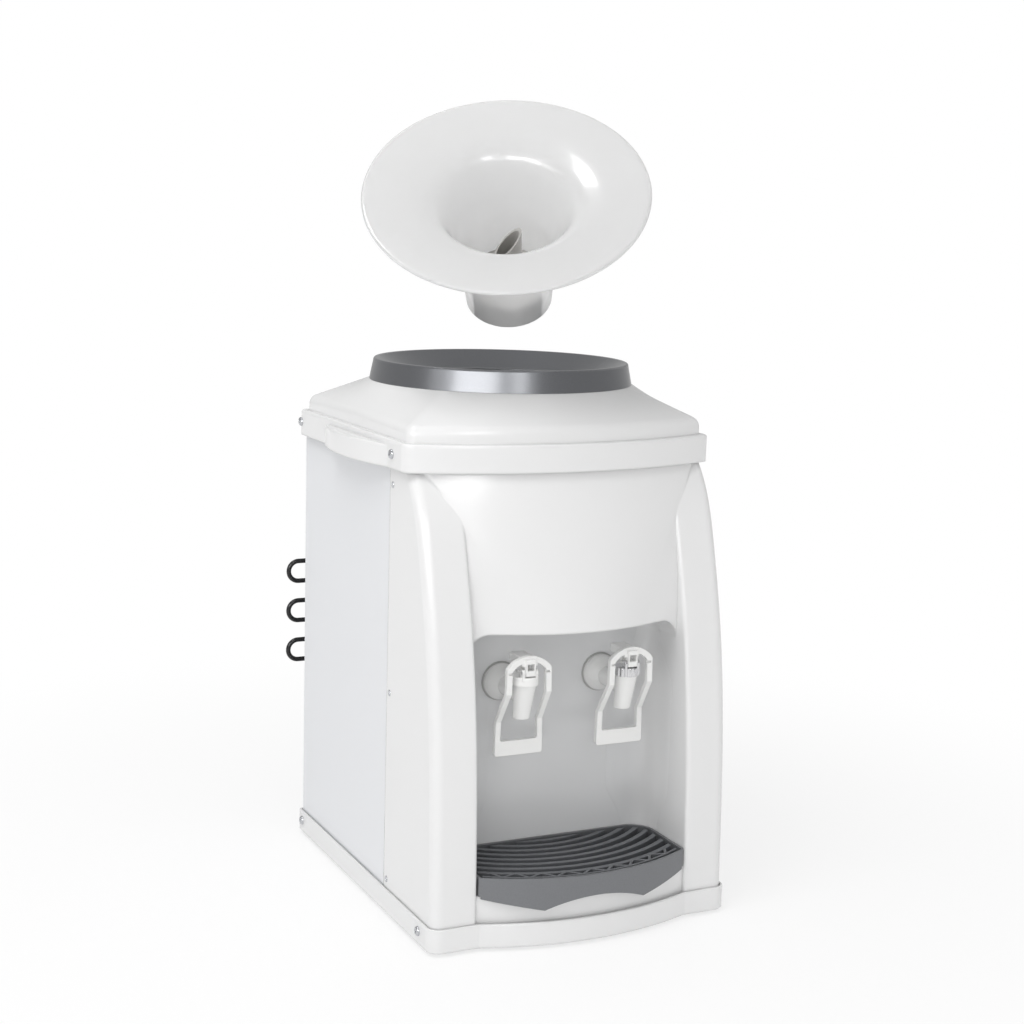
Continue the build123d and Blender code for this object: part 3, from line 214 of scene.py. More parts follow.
class NodeGroups:
    """Shader node groups that several finishes share.

    Attributes:
        mottle_drift: how far roughness drifts with the mottle.
        line_drift: how far it drifts over drawing lines.
        line_stretch: how much denser drawing lines lie along each axis.
        noise_middle: middle value of noise.
    """

    mottle_drift: float = 0.12
    line_drift: float = 0.14
    line_stretch: Point = (1.0, 1.0, 14.0)
    noise_middle: float = 0.5

    def __init__(self) -> None:
        """Build every group once."""
        self.mottle = self._mottle()
        self.grain = self._grain()
        self.drawn = self._drawn()
        self.flake = self._flake()

    @staticmethod
    def _open(name: str, inputs: dict[str, object], outputs: Iterable[str]) -> Tree:
        """Start a group with named sockets; Colour is a colour, and all others are numbers.

        Args:
            name: the group's name.
            inputs: socket names with their start values.
            outputs: socket names.

        Returns:
            The new node tree, with its input and output nodes in place.
        """
        tree = bpy.data.node_groups.new(name, "ShaderNodeTree")
        sides = [(label, "INPUT") for label in inputs] + [(label, "OUTPUT") for label in outputs]
        for label, side in sides:
            kind = "NodeSocketColor" if label == "Colour" else "NodeSocketFloat"
            socket = tree.interface.new_socket(name=label, in_out=side, socket_type=kind)
            if side == "INPUT":
                socket.default_value = inputs[label]
        tree.nodes.new("NodeGroupInput").name = "in"
        tree.nodes.new("NodeGroupOutput").name = "out"
        return tree

    @staticmethod
    def _noise(tree: Tree, detail: float, stretch: Point = (1.0, 1.0, 1.0)) -> Socket:
        """Add noise in the piece's own space, scaled by the group's Scale input.

        Args:
            tree: the group.
            detail: how many finer layers the noise has.
            stretch: how much denser it is along each axis.

        Returns:
            The noise value's socket.
        """
        where = tree.nodes.new("ShaderNodeTexCoord")
        dense = tree.nodes.new("ShaderNodeVectorMath")
        dense.operation = "MULTIPLY"
        dense.inputs[1].default_value = stretch
        tree.links.new(where.outputs["Object"], dense.inputs[0])
        noise = tree.nodes.new("ShaderNodeTexNoise")
        noise.inputs["Detail"].default_value = detail
        tree.links.new(dense.outputs[0], noise.inputs["Vector"])
        tree.links.new(tree.nodes["in"].outputs["Scale"], noise.inputs["Scale"])
        return noise.outputs["Fac"]

    @staticmethod
    def _tint(tree: Tree, factor: Socket) -> None:
        """Send the group's colour out, made lighter or darker.

        Args:
            tree: the group.
            factor: the factor's socket.
        """
        tint = tree.nodes.new("ShaderNodeVectorMath")
        tint.operation = "SCALE"
        tree.links.new(tree.nodes["in"].outputs["Colour"], tint.inputs[0])
        tree.links.new(factor, tint.inputs["Scale"])
        tree.links.new(tint.outputs[0], tree.nodes["out"].inputs["Colour"])

    def _mottle(self) -> Tree:
        """Slow drift of colour and gloss over a surface.

        Returns:
            Group with Colour and Roughness outputs.
        """
        tree = self._open(
            "surface_mottle",
            {"Colour": (0.8, 0.8, 0.8, 1.0), "Amount": 0.02, "Scale": 9.0, "Roughness": 0.3},
            ("Colour", "Roughness"))
        source, out = tree.nodes["in"].outputs, tree.nodes["out"].inputs
        centred = add_math(tree, "SUBTRACT", self._noise(tree, detail=5.0), self.noise_middle)
        self._tint(tree, add_math(tree, "MULTIPLY_ADD", centred, source["Amount"], 1.0))
        gloss = add_math(tree, "MULTIPLY_ADD", centred, self.mottle_drift, source["Roughness"], clamp=True)
        tree.links.new(gloss, out["Roughness"])
        return tree

    def _grain(self) -> Tree:
        """Fine moulded or sprayed grain.

        Returns:
            Group with a Height output in metres.
        """
        tree = self._open("surface_grain", {"Height": 0.00002, "Scale": 900.0}, ("Height",))
        height = add_math(tree, "MULTIPLY", self._noise(tree, detail=3.0), tree.nodes["in"].outputs["Height"])
        tree.links.new(height, tree.nodes["out"].inputs["Height"])
        return tree

    def _drawn(self) -> Tree:
        """Long drawing lines of bare metal.

        Returns:
            Group with Height and Roughness outputs.
        """
        tree = self._open(
            "drawn_lines", {"Height": 0.00002, "Scale": 400.0, "Roughness": 0.3}, ("Height", "Roughness"))
        source, out = tree.nodes["in"].outputs, tree.nodes["out"].inputs
        lines = self._noise(tree, detail=2.0, stretch=self.line_stretch)
        tree.links.new(add_math(tree, "MULTIPLY", lines, source["Height"]), out["Height"])
        rough = add_math(tree, "MULTIPLY_ADD", lines, self.line_drift, source["Roughness"], clamp=True)
        tree.links.new(rough, out["Roughness"])
        return tree

    def _flake(self) -> Tree:
        """Fine metal flake in a moulding.

        Returns:
            Group with a Colour output.
        """
        tree = self._open(
            "metal_flake", {"Colour": (0.3, 0.3, 0.3, 1.0), "Scale": 2600.0, "Amount": 0.5}, ("Colour",))
        centred = add_math(tree, "SUBTRACT", self._noise(tree, detail=1.0), self.noise_middle)
        self._tint(tree, add_math(tree, "MULTIPLY_ADD", centred, tree.nodes["in"].outputs["Amount"], 1.0))
        return tree


class FinishShop:
    """Turns finishes into materials, each built once.

    Attributes:
        ior: how strongly plastics and paints bend light.
        edge_samples: how finely broken edges are drawn.
    """

    ior: float = 1.47
    edge_samples: int = 6

    def __init__(self) -> None:
        """Build the shared groups."""
        self.groups = NodeGroups()
        self.made: dict[str, bpy.types.Material] = {}

    def material(self, finish: Finish) -> bpy.types.Material:
        """Material of a finish.

        Args:
            finish: the finish to build.

        Returns:
            The material, built on first use.
        """
        key = f"{finish.name}_with_painted_light" if finish.fade else finish.name
        if key not in self.made:
            self.made[key] = self._build(key, finish)
        return self.made[key]

    @staticmethod
    def _place(tree: Tree, group: Tree, **values: object) -> bpy.types.Node:
        """Place a shared group in a material.

        Args:
            tree: the material's node tree.
            group: the shared group.
            values: start values of its inputs, by name.

        Returns:
            The group's node.
        """
        node = tree.nodes.new("ShaderNodeGroup")
        node.node_tree = group
        set_inputs(node, values)
        return node

    def _build(self, name: str, finish: Finish) -> bpy.types.Material:
        """Build one material.

        Args:
            name: the material's name.
            finish: the finish to build.

        Returns:
            The new material.
        """
        material = bpy.data.materials.new(name)
        material.use_nodes = True
        tree = material.node_tree
        links = tree.links
        shader = tree.nodes["Principled BSDF"]
        self._set_constants(shader, finish)
        mottle = self._place(
            tree, self.groups.mottle, Colour=(*finish.colour, 1.0), Amount=finish.mottle,
            Roughness=finish.roughness)
        # A blend colour paints light or shade over part of the surface.
        if finish.fade:
            links.new(self._painted_light_colour(tree, finish), mottle.inputs["Colour"])
        colour_from, rough_from = mottle, mottle
        if finish.sheen is Sheen.FLAKE:
            colour_from = self._place(tree, self.groups.flake)
            links.new(mottle.outputs["Colour"], colour_from.inputs["Colour"])
        if finish.sheen is Sheen.METAL:
            relief = self._place(tree, self.groups.drawn, Roughness=finish.roughness)
            rough_from = relief
        else:
            relief = self._place(tree, self.groups.grain)
        set_inputs(relief, {"Height": finish.grain, "Scale": finish.grain_scale})
        links.new(colour_from.outputs["Colour"], shader.inputs["Base Color"])
        links.new(rough_from.outputs["Roughness"], shader.inputs["Roughness"])
        bump = tree.nodes.new("ShaderNodeBump")
        bump.inputs["Distance"].default_value = 1.0
        links.new(relief.outputs["Height"], bump.inputs["Height"])
        rounded = tree.nodes.new("ShaderNodeBevel")
        rounded.samples = self.edge_samples
        rounded.inputs["Radius"].default_value = finish.edge
        links.new(rounded.outputs["Normal"], bump.inputs["Normal"])
        links.new(bump.outputs["Normal"], shader.inputs["Normal"])
        return material

    @staticmethod
    def _painted_light_colour(tree: Tree, finish: Finish) -> Socket:
        """Colour that runs from the finish's own into another one, to paint light or shade.

        Args:
            tree: the material's node tree.
            finish: the finish to read.

        Returns:
            The colour's socket.
        """
        nodes, links = tree.nodes, tree.links
        where, reach = nodes.new("ShaderNodeTexCoord"), nodes.new("ShaderNodeVectorMath")
        reach.operation = "DOT_PRODUCT"
        reach.inputs[1].default_value = finish.painted_light_along
        links.new(where.outputs["Object"], reach.inputs[0])
        aside = add_math(tree, "ABSOLUTE", reach.outputs["Value"])
        share = add_range(tree, aside, source=finish.painted_light_span, smooth=True)
        ramp = nodes.new("ShaderNodeValToRGB")
        ramp.color_ramp.elements[0].color = (*finish.colour, 1.0)
        ramp.color_ramp.elements[1].color = (*finish.fade, 1.0)
        links.new(share, ramp.inputs["Fac"])
        return ramp.outputs["Color"]

    def _set_constants(self, shader: bpy.types.Node, finish: Finish) -> None:
        """Set what is the same all over the surface.

        Args:
            shader: the Principled shader.
            finish: the finish to read.
        """
        set_inputs(shader, {
            "Metallic": finish.metallic, "IOR": self.ior, "Transmission Weight": finish.clear,
            "Subsurface Weight": finish.cloud, "Subsurface Radius": (1.0, 1.0, 1.0),
            "Subsurface Scale": finish.depth, "Coat Weight": finish.coat,
            "Coat Roughness": finish.coat_roughness})


def add_object(name: str, data: bpy.types.ID) -> bpy.types.Object:
    """Put a mesh, lamp or camera in the scene.

    Args:
        name: the object's name.
        data: what it shows.

    Returns:
        The new object.
    """
    thing = bpy.data.objects.new(name, data)
    bpy.context.scene.collection.objects.link(thing)
    return thing


@dataclass
class MeshBatch:
    """Points and faces of one piece while it is put together.

    Attributes:
        points: its corners.
        faces: its faces, by corner number.
    """

    points: list[Vector] = field(default_factory=list)
    faces: list[tuple[int, ...]] = field(default_factory=list)

    def add(self, points: Iterable[Sequence[float]], faces: Iterable[Sequence[int]]) -> None:
        """Add a closed form.

        Args:
            points: its corners.
            faces: its faces, by corner number.
        """
        start = len(self.points)
        self.points += [Vector(point) for point in points]
        self.faces += [tuple(start + number for number in face) for face in faces]

    def add_rings(self, rings: Sequence[Sequence[Sequence[float]]], closed: bool = False) -> None:
        """Add a form that runs through rings of equal length.

        Args:
            rings: the rings, each a list of points.
            closed: whether the last ring joins the first, else both ends get a cap.
        """
        count, total = len(rings[0]), len(rings)
        faces: list[tuple[int, ...]] = []
        for ring in range(total if closed else total - 1):
            low, high = ring * count, (ring + 1) % total * count
            for i in range(count):
                after = (i + 1) % count
                faces.append((low + i, low + after, high + after, high + i))
        if not closed:
            faces.append(tuple(reversed(range(count))))
            faces.append(tuple(range((total - 1) * count, total * count)))
        self.add([point for ring in rings for point in ring], faces)

    def copies(self, *places: Matrix) -> "MeshBatch":
        """Repeat the form.

        Args:
            places: a transform for each copy.

        Returns:
            All copies as one form.
        """
        batch = MeshBatch()
        for place in places:
            batch.add([place @ point for point in self.points], self.faces)
        return batch

    def mesh(self, name: str, crease: float = 35.0) -> bpy.types.Mesh:
        """Finished mesh with smooth faces and sharp creases.

        Args:
            name: the mesh's name.
            crease: edges that turn by more than this many degrees stay sharp.

        Returns:
            The new mesh.
        """
        data = bpy.data.meshes.new(name)
        data.from_pydata([tuple(point) for point in self.points], [], self.faces)
        work = bmesh.new()
        work.from_mesh(data)
        bmesh.ops.recalc_face_normals(work, faces=work.faces)
        for face in work.faces:
            face.smooth = True
        work.to_mesh(data)
        work.free()
        data.set_sharp_from_angle(angle=math.radians(crease))
        return data


def ring_of(radius: float | Callable[[float], float], height: float, count: int) -> list[Point]:
    """Points round the Z axis.

    Args:
        radius: the ring's radius, or its radius at each angle.
        height: its height.
        count: how many points it has.

    Returns:
        The points, in order.
    """
    angles = [2.0 * math.pi * step / count for step in range(count)]
    reach = [radius(angle) if callable(radius) else radius for angle in angles]
    return [(r * math.cos(a), r * math.sin(a), height) for r, a in zip(reach, angles)]


def slab(low: Sequence[float], high: Sequence[float]) -> list[list[Point]]:
    """Two rings of a box between two corners, for MeshBatch.add_rings."""
    outline = [(low[0], low[1]), (high[0], low[1]), (high[0], high[1]), (low[0], high[1])]
    return [[(x, y, z) for x, y in outline] for z in (low[2], high[2])]


def solids_in(node: str) -> list[tuple[Vector, Vector]]:
    """Boxes of the separate solids in one node of the frame.

    Args:
        node: the node's name.

    Returns:
        The lowest and highest corner of each solid, sorted by place.
    """
    work = bmesh.new()
    work.from_mesh(frame["nodes"][node].data)
    bmesh.ops.remove_doubles(work, verts=work.verts, dist=SAME_POINT)
    waiting = set(work.verts)
    boxes = []
    while waiting:
        stack, reached = [waiting.pop()], []
        while stack:
            corner = stack.pop()
            reached.append(corner.co.copy())
            near = {edge.other_vert(corner) for edge in corner.link_edges} & waiting
            waiting -= near
            stack += near
        low = Vector(min(point[axis] for point in reached) for axis in range(3))
        high = Vector(max(point[axis] for point in reached) for axis in range(3))
        boxes.append((low, high))
    work.free()
    return sorted(boxes, key=lambda box: tuple(box[0]))


def joint_of(name: str) -> dict:
    """Row of one joint in the frame."""
    return next(joint for joint in frame["joints"] if joint["name"] == name)


@dataclass
class SubAssembly:
    """Pieces that belong together.

    Attributes:
        shop: where the materials come from.
        nodes: the frame's nodes that it dresses.
    """

    shop: FinishShop
    nodes: tuple[str, ...] = ()

    def dress(self) -> None:
        """Give each node the finish of its slot in the record."""
        slots = {row["node"]: row["material_slot"] for row in frame["record"]["subparts"]}
        for node in self.nodes:
            piece = frame["nodes"][node]
            piece.data.materials.clear()
            piece.data.materials.append(self.shop.material(FINISHES[slots[node]]))
        LOG.info("%s: dressed %d pieces", type(self).__name__, len(self.nodes))

    def add_piece(
            self, mesh: bpy.types.Mesh, finish: Finish, body: str,
            replaced: Sequence[str] = ()) -> bpy.types.Object:
        """Add a piece that the frame lacks or shows plainer.

        Args:
            mesh: the piece's mesh, in the frame.
            finish: its finish.
            body: the body that carries it.
            replaced: nodes that it stands for.

        Returns:
            The new object.
        """
        piece = add_object(mesh.name, mesh)
        mesh.materials.append(self.shop.material(finish))
        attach(piece, body)
        if replaced:
            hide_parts(*replaced)
        LOG.info("%s: added %s", type(self).__name__, mesh.name)
        return piece


@dataclass
class CrossScrew:
    """Pan-head screw with a cross recess, head along +Z and its seat at height 0.

    Attributes:
        radius: radius of the head.
        height: height of the head.
        shank: radius of the shank.
        length: length of the shank.
        reach: half the length of the recess.
        width: half the width of one arm of the recess.
        depth: depth of the recess.
        taper: share of its length that is left at its floor.
        over: how far the cutter stands over the head.
        dome: line of the head as shares of its radius and height.
        sides: points round the screw.
    """

    radius: float = 4.4 * MM
    height: float = 2.6 * MM
    shank: float = 2.0 * MM
    length: float = 8.9 * MM
    reach: float = 2.3 * MM
    width: float = 0.5 * MM
    depth: float = 1.5 * MM
    taper: float = 0.6
    over: float = 1.0 * MM
    dome: tuple[Span, ...] = ((1.0, 0.0), (1.0, 0.3), (0.93, 0.62), (0.78, 0.85), (0.55, 0.97), (0.30, 1.0))
    sides: int = 36

    def form(self) -> MeshBatch:
        """Screw as points and faces.

        Returns:
            The screw, ready to be copied to its places.
        """
        body = MeshBatch()
        profile = [(self.shank, -self.length), (self.shank, 0.0)]
        profile += [(out * self.radius, up * self.height) for out, up in self.dome]
        body.add_rings([ring_of(radius, height, self.sides) for radius, height in profile])
        cross = MeshBatch()
        top, floor = self.height + self.over, self.height - self.depth
        arms = self._cross_outline(self.reach)
        foot = self._cross_outline(self.taper * self.reach)
        cross.add_rings([[(x, y, floor) for x, y in foot], [(x, y, top) for x, y in arms]])
        return self._cut(body, cross)

    def _cross_outline(self, reach: float) -> list[Span]:
        """Outline of the recess.

        Args:
            reach: half the length of its arms.

        Returns:
            Its twelve corners.
        """
        w = self.width
        quarter = [(reach, -w), (reach, w), (w, w)]
        outline = []
        for c, s in ((1, 0), (0, 1), (-1, 0), (0, -1)):
            outline += [(c * x - s * y, s * x + c * y) for x, y in quarter]
        return outline

    @staticmethod
    def _cut(body: MeshBatch, tool: MeshBatch) -> MeshBatch:
        """Take one form out of another.

        Args:
            body: the form that stays.
            tool: the form that is taken out.

        Returns:
            What is left.
        """
        whole, cutter = add_object("body", body.mesh("body")), add_object("tool", tool.mesh("tool"))
        change = whole.modifiers.new("recess", "BOOLEAN")
        change.operation = "DIFFERENCE"
        change.solver = "EXACT"
        change.object = cutter
        cut = whole.evaluated_get(bpy.context.evaluated_depsgraph_get())
        result = cut.to_mesh()
        left = MeshBatch()
        left.add([v.co.copy() for v in result.vertices], [tuple(f.vertices) for f in result.polygons])
        cut.to_mesh_clear()
        for piece in (whole, cutter):
            data = piece.data
            bpy.data.objects.remove(piece)
            bpy.data.meshes.remove(data)
        return left


@dataclass
class Cabinet(SubAssembly):
    """Base, sheets, front moulding, cover and their fasteners.

    Attributes:
        screw_nodes: the nodes that hold plain screws.
        niche_half: half the niche's width.
        niche_top: height of the niche's ceiling.
        niche_floor: height of its floor.
        niche_corner: radius between its sides and its ceiling.
        cove_low: reach of the cove between its rear wall and its sides, round the tray.
        cove_wide: the same reach above the tray.
        cove_top: the same reach at the ceiling.
        cove_power: power of the cove's curve; 2 is a circle, and more starts softer.
        cove_sink: how far the cove's edges lie under the walls.
        cove_root: how far its rear corner lies inside them.
        cove_steps: how many faces the cove has across.
        tray_level: height up to which the tray stands in the niche.
        ease_low: length over which the cove opens above the tray.
        ease_top: length over which it closes under the ceiling's corners.
        rise_steps: how many faces the cove has up a side.
        corner_steps: how many it has round a corner of the ceiling.
        spin: turn of a screw's recess in radians for each metre of its place along each axis.
    """

    nodes: tuple[str, ...] = (
        "base_tray", "rubber_feet", "left_side_panel", "right_side_panel", "rear_panel", "front_panel",
        "tap_panel", "top_cover", "panel_rivets", "cover_screws", "base_screws", "rear_screws")
    screw_nodes: tuple[str, ...] = ("cover_screws", "base_screws", "rear_screws")
    niche_half: float = 105.0 * MM
    niche_top: float = 276.5 * MM
    niche_floor: float = 49.0 * MM
    niche_corner: float = 20.0 * MM
    cove_low: float = 29.0 * MM
    cove_wide: float = 46.0 * MM
    cove_top: float = 18.0 * MM
    cove_power: float = 2.6
    cove_sink: float = 0.05 * MM
    cove_root: float = 0.5 * MM
    cove_steps: int = 18
    tray_level: float = 70.0 * MM
    ease_low: float = 42.0 * MM
    ease_top: float = 50.0 * MM
    rise_steps: int = 40
    corner_steps: int = 12
    spin: Point = (0.0, 300.0, 700.0)

    def fit_screws(self) -> None:
        """Put cross-head screws in place of the plain ones of the frame."""
        screw = CrossScrew()
        form = screw.form()
        for node in self.screw_nodes:
            rear = node == "rear_screws"
            places = [self._screw_place(low, high, rear, screw) for low, high in solids_in(node)]
            mesh = form.copies(*places).mesh(f"cross_{node}")
            self.add_piece(mesh, FINISHES["screw_steel"], "cabinet", (node,))

    def line_niche(self) -> None:
        """Round the corners between the niche's rear wall and its sides and ceiling."""
        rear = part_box("tap_panel")[0].y
        rings = []
        for (x, z), (nx, nz) in self._niche_line():
            radius = self._cove_radius(z)
            ring = [(x - self.cove_root * nx, rear + self.cove_root, z - self.cove_root * nz)]
            for step in range(self.cove_steps + 1):
                angle = 0.5 * math.pi * step / self.cove_steps
                off, back = (
                    radius * (1.0 - max(share, 0.0) ** (2.0 / self.cove_power)) - self.cove_sink
                    for share in (math.cos(angle), math.sin(angle)))
                ring.append((x + off * nx, rear - back, z + off * nz))
            rings.append(ring)
        batch = MeshBatch()
        batch.add_rings(rings)
        # The cove's colour carries the niche's painted shade over into the white side walls.
        self.add_piece(batch.mesh("niche_cove", crease=60.0), NICHE_COVE_TONE_AND_SHADE, "cabinet")

    def _niche_line(self) -> list[tuple[Span, Span]]:
        """Line of the niche's wall from the right foot over the ceiling to the left foot.

        Returns:
            Points of the line with the way to the niche's middle, both in the X-Z plane.
        """
        half, top, corner = self.niche_half, self.niche_top, self.niche_corner
        straight = top - corner - self.niche_floor
        right = [
            ((half, self.niche_floor + straight * step / self.rise_steps), (-1.0, 0.0))
            for step in range(self.rise_steps)]
        for step in range(self.corner_steps + 1):
            angle = 0.5 * math.pi * step / self.corner_steps
            c, s = math.cos(angle), math.sin(angle)
            right.append(((half - corner + corner * c, top - corner + corner * s), (-c, -s)))
        left = [((-x, z), (-nx, nz)) for (x, z), (nx, nz) in reversed(right)]
        return right + left

    def _cove_radius(self, height: float) -> float:
        """Reach of the cove at a height.

        Args:
            height: the height in metres.

        Returns:
            The reach in metres.
        """
        def eased(low: float, high: float) -> float:
            """Smooth step from 0 at one height to 1 at another."""
            share = min(max((height - low) / (high - low), 0.0), 1.0)
            return share * share * (3.0 - 2.0 * share)

        low, top = self.tray_level, self.niche_top - self.niche_corner
        opened = self.cove_low + (self.cove_wide - self.cove_low) * eased(low, low + self.ease_low)
        return opened + (self.cove_top - self.cove_wide) * eased(top - self.ease_top, top)

    def _screw_place(self, low: Vector, high: Vector, rear: bool, screw: CrossScrew) -> Matrix:
        """Place of one screw.

        Args:
            low: lowest corner of the plain screw.
            high: its highest corner.
            rear: whether it is driven in from the rear, else from a side.
            screw: the screw to place.

        Returns:
            The transform that carries the screw there.
        """
        middle = (low + high) / 2
        scale = (high.z - low.z) / 2 / screw.radius
        if rear:
            outward, tip = Vector((0, 1, 0)), Vector((middle.x, high.y, middle.z))
        else:
            side = 1 if middle.x > 0 else -1
            outward, tip = Vector((side, 0, 0)), Vector((high.x if side > 0 else low.x, middle.y, middle.z))
        turn = outward.to_track_quat("Z", "Y").to_matrix().to_4x4()
        seat = tip - outward * screw.height * scale
        spin = Matrix.Rotation(middle.dot(Vector(self.spin)), 4, "Z")
        return Matrix.Translation(seat) @ turn @ spin @ Matrix.Scale(scale, 4)


@dataclass
class TapPair(SubAssembly):
    """Both taps, with the bright fluted cap of the right one.

    Attributes:
        flutes: how many flutes run round the cap.
        flute_depth: depth of a flute.
        notches: how many wide notches break the flutes.
        notch_depth: depth of a notch.
        notch_half: half the angle of a notch, in radians.
        ear_in: inner face of an ear, from the tap's middle.
        ear_out: outer face of an ear.
        ear_radius: radius of an ear's round top.
        ear_waist: how much narrower an ear's foot is, to each side.
        ear_sink: how far the foot goes into the cap.
        ear_arc: where the round top starts and how far it runs, in degrees.
        ear_steps: how many faces the round top has.
        cap_drop: how far the cap's top lies under the lever's pin.
        bore: radius of the hole for the plunger.
        flute_stop: how far under the top the flutes end.
        shoulder: round of the cap's top edge, as steps in from its side and down from its top.
        points_round: points round the cap.
    """

    nodes: tuple[str, ...] = tuple(
        f"{side}_{piece}" for side in ("left", "right")
        for piece in (
            "tap_body", "tap_cap", "tap_gasket", "tap_nut", "tap_plunger", "tap_spring", "tap_lever",
            "lever_pin", "valve_seal", "outlet_hose"))
    flutes: int = 18
    flute_depth: float = 0.9 * MM
    notches: int = 6
    notch_depth: float = 1.6 * MM
    notch_half: float = 0.10
    ear_in: float = 5.0 * MM
    ear_out: float = 7.3 * MM
    ear_radius: float = 3.2 * MM
    ear_waist: float = 0.6 * MM
    ear_sink: float = 1.0 * MM
    ear_arc: Span = (-30.0, 240.0)
    ear_steps: int = 16
    cap_drop: float = 4.0 * MM
    bore: float = 2.55 * MM
    flute_stop: float = 1.0 * MM
    shoulder: tuple[Span, ...] = ((0.5 * MM, 0.3 * MM), (1.4 * MM, 0.0))
    points_round: int = 288

    def fit_bright_cap(self) -> None:
        """Put the fluted cap in place of the plain one of the right tap."""
        low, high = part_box("right_tap_cap")
        pivot, middle = (sum(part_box(node), Vector()) / 2 for node in ("right_lever_pin", "right_tap_spring"))
        foot = Vector((middle.x, middle.y, low.z))
        radius = (high.x - low.x) / 2
        top = pivot.z - self.cap_drop - low.z

        def fluted(angle: float) -> float:
            """Radius of the cap's side at an angle."""
            return radius - self._flute(angle)

        wall = [(fluted, 0.0), (fluted, top - self.flute_stop)]
        wall += [(radius - inward, top - down) for inward, down in self.shoulder]
        wall += [(self.bore, top), (self.bore, 0.0)]
        batch = MeshBatch()
        batch.add_rings([ring_of(reach, height, self.points_round) for reach, height in wall], closed=True)
        for side in (-1, 1):
            batch.add_rings(self._ear(side, pivot - foot, top))
        mesh = batch.copies(Matrix.Translation(foot)).mesh("bright_cap", crease=28.0)
        self.add_piece(mesh, FINISHES["tap_chrome"], "cabinet", ("right_tap_cap",))

    def fit_springs(self) -> None:
        """Put a copy of each tap's spring, with a mesh of its own, in place of the frame's one."""
        for side in ("left", "right"):
            node, lift = f"{side}_tap_spring", f"{side}_plunger_lift"
            coil = frame["nodes"][node].data.copy()
            coil.name = f"{side}_return_spring"
            coil.materials.clear()
            spring = self.add_piece(coil, FINISHES["pin_steel"], "cabinet", (node,))
            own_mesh(spring)

    def _flute(self, angle: float) -> float:
        """Depth of the cap's wall under its outer radius.

        Args:
            angle: the place on the wall, in radians.

        Returns:
            The depth in metres.
        """
        pitch = 2.0 * math.pi / self.notches
        to_notch = abs((angle + pitch / 2) % pitch - pitch / 2)
        if to_notch < self.notch_half:
            return self.notch_depth
        return self.flute_depth * (0.5 - 0.5 * math.cos(self.flutes * angle))

    def _ear(self, side: int, pivot: Vector, seat: float) -> list[list[Point]]:
        """Ear that holds the lever's pin.

        Args:
            side: -1 for the left ear, 1 for the right one.
            pivot: the pin's middle, from the cap's middle.
            seat: height of the cap's top.

        Returns:
            Its two side faces as rings.
        """
        half, radius = self.ear_radius - self.ear_waist, self.ear_radius
        outline = [(pivot.y - half, seat - self.ear_sink), (pivot.y + half, seat - self.ear_sink)]
        start, sweep = self.ear_arc
        for step in range(self.ear_steps + 1):
            angle = math.radians(start + sweep * step / self.ear_steps)
            outline.append((pivot.y + radius * math.cos(angle), pivot.z + radius * math.sin(angle)))
        return [[(side * x, y, z) for y, z in outline] for x in (self.ear_in, self.ear_out)]


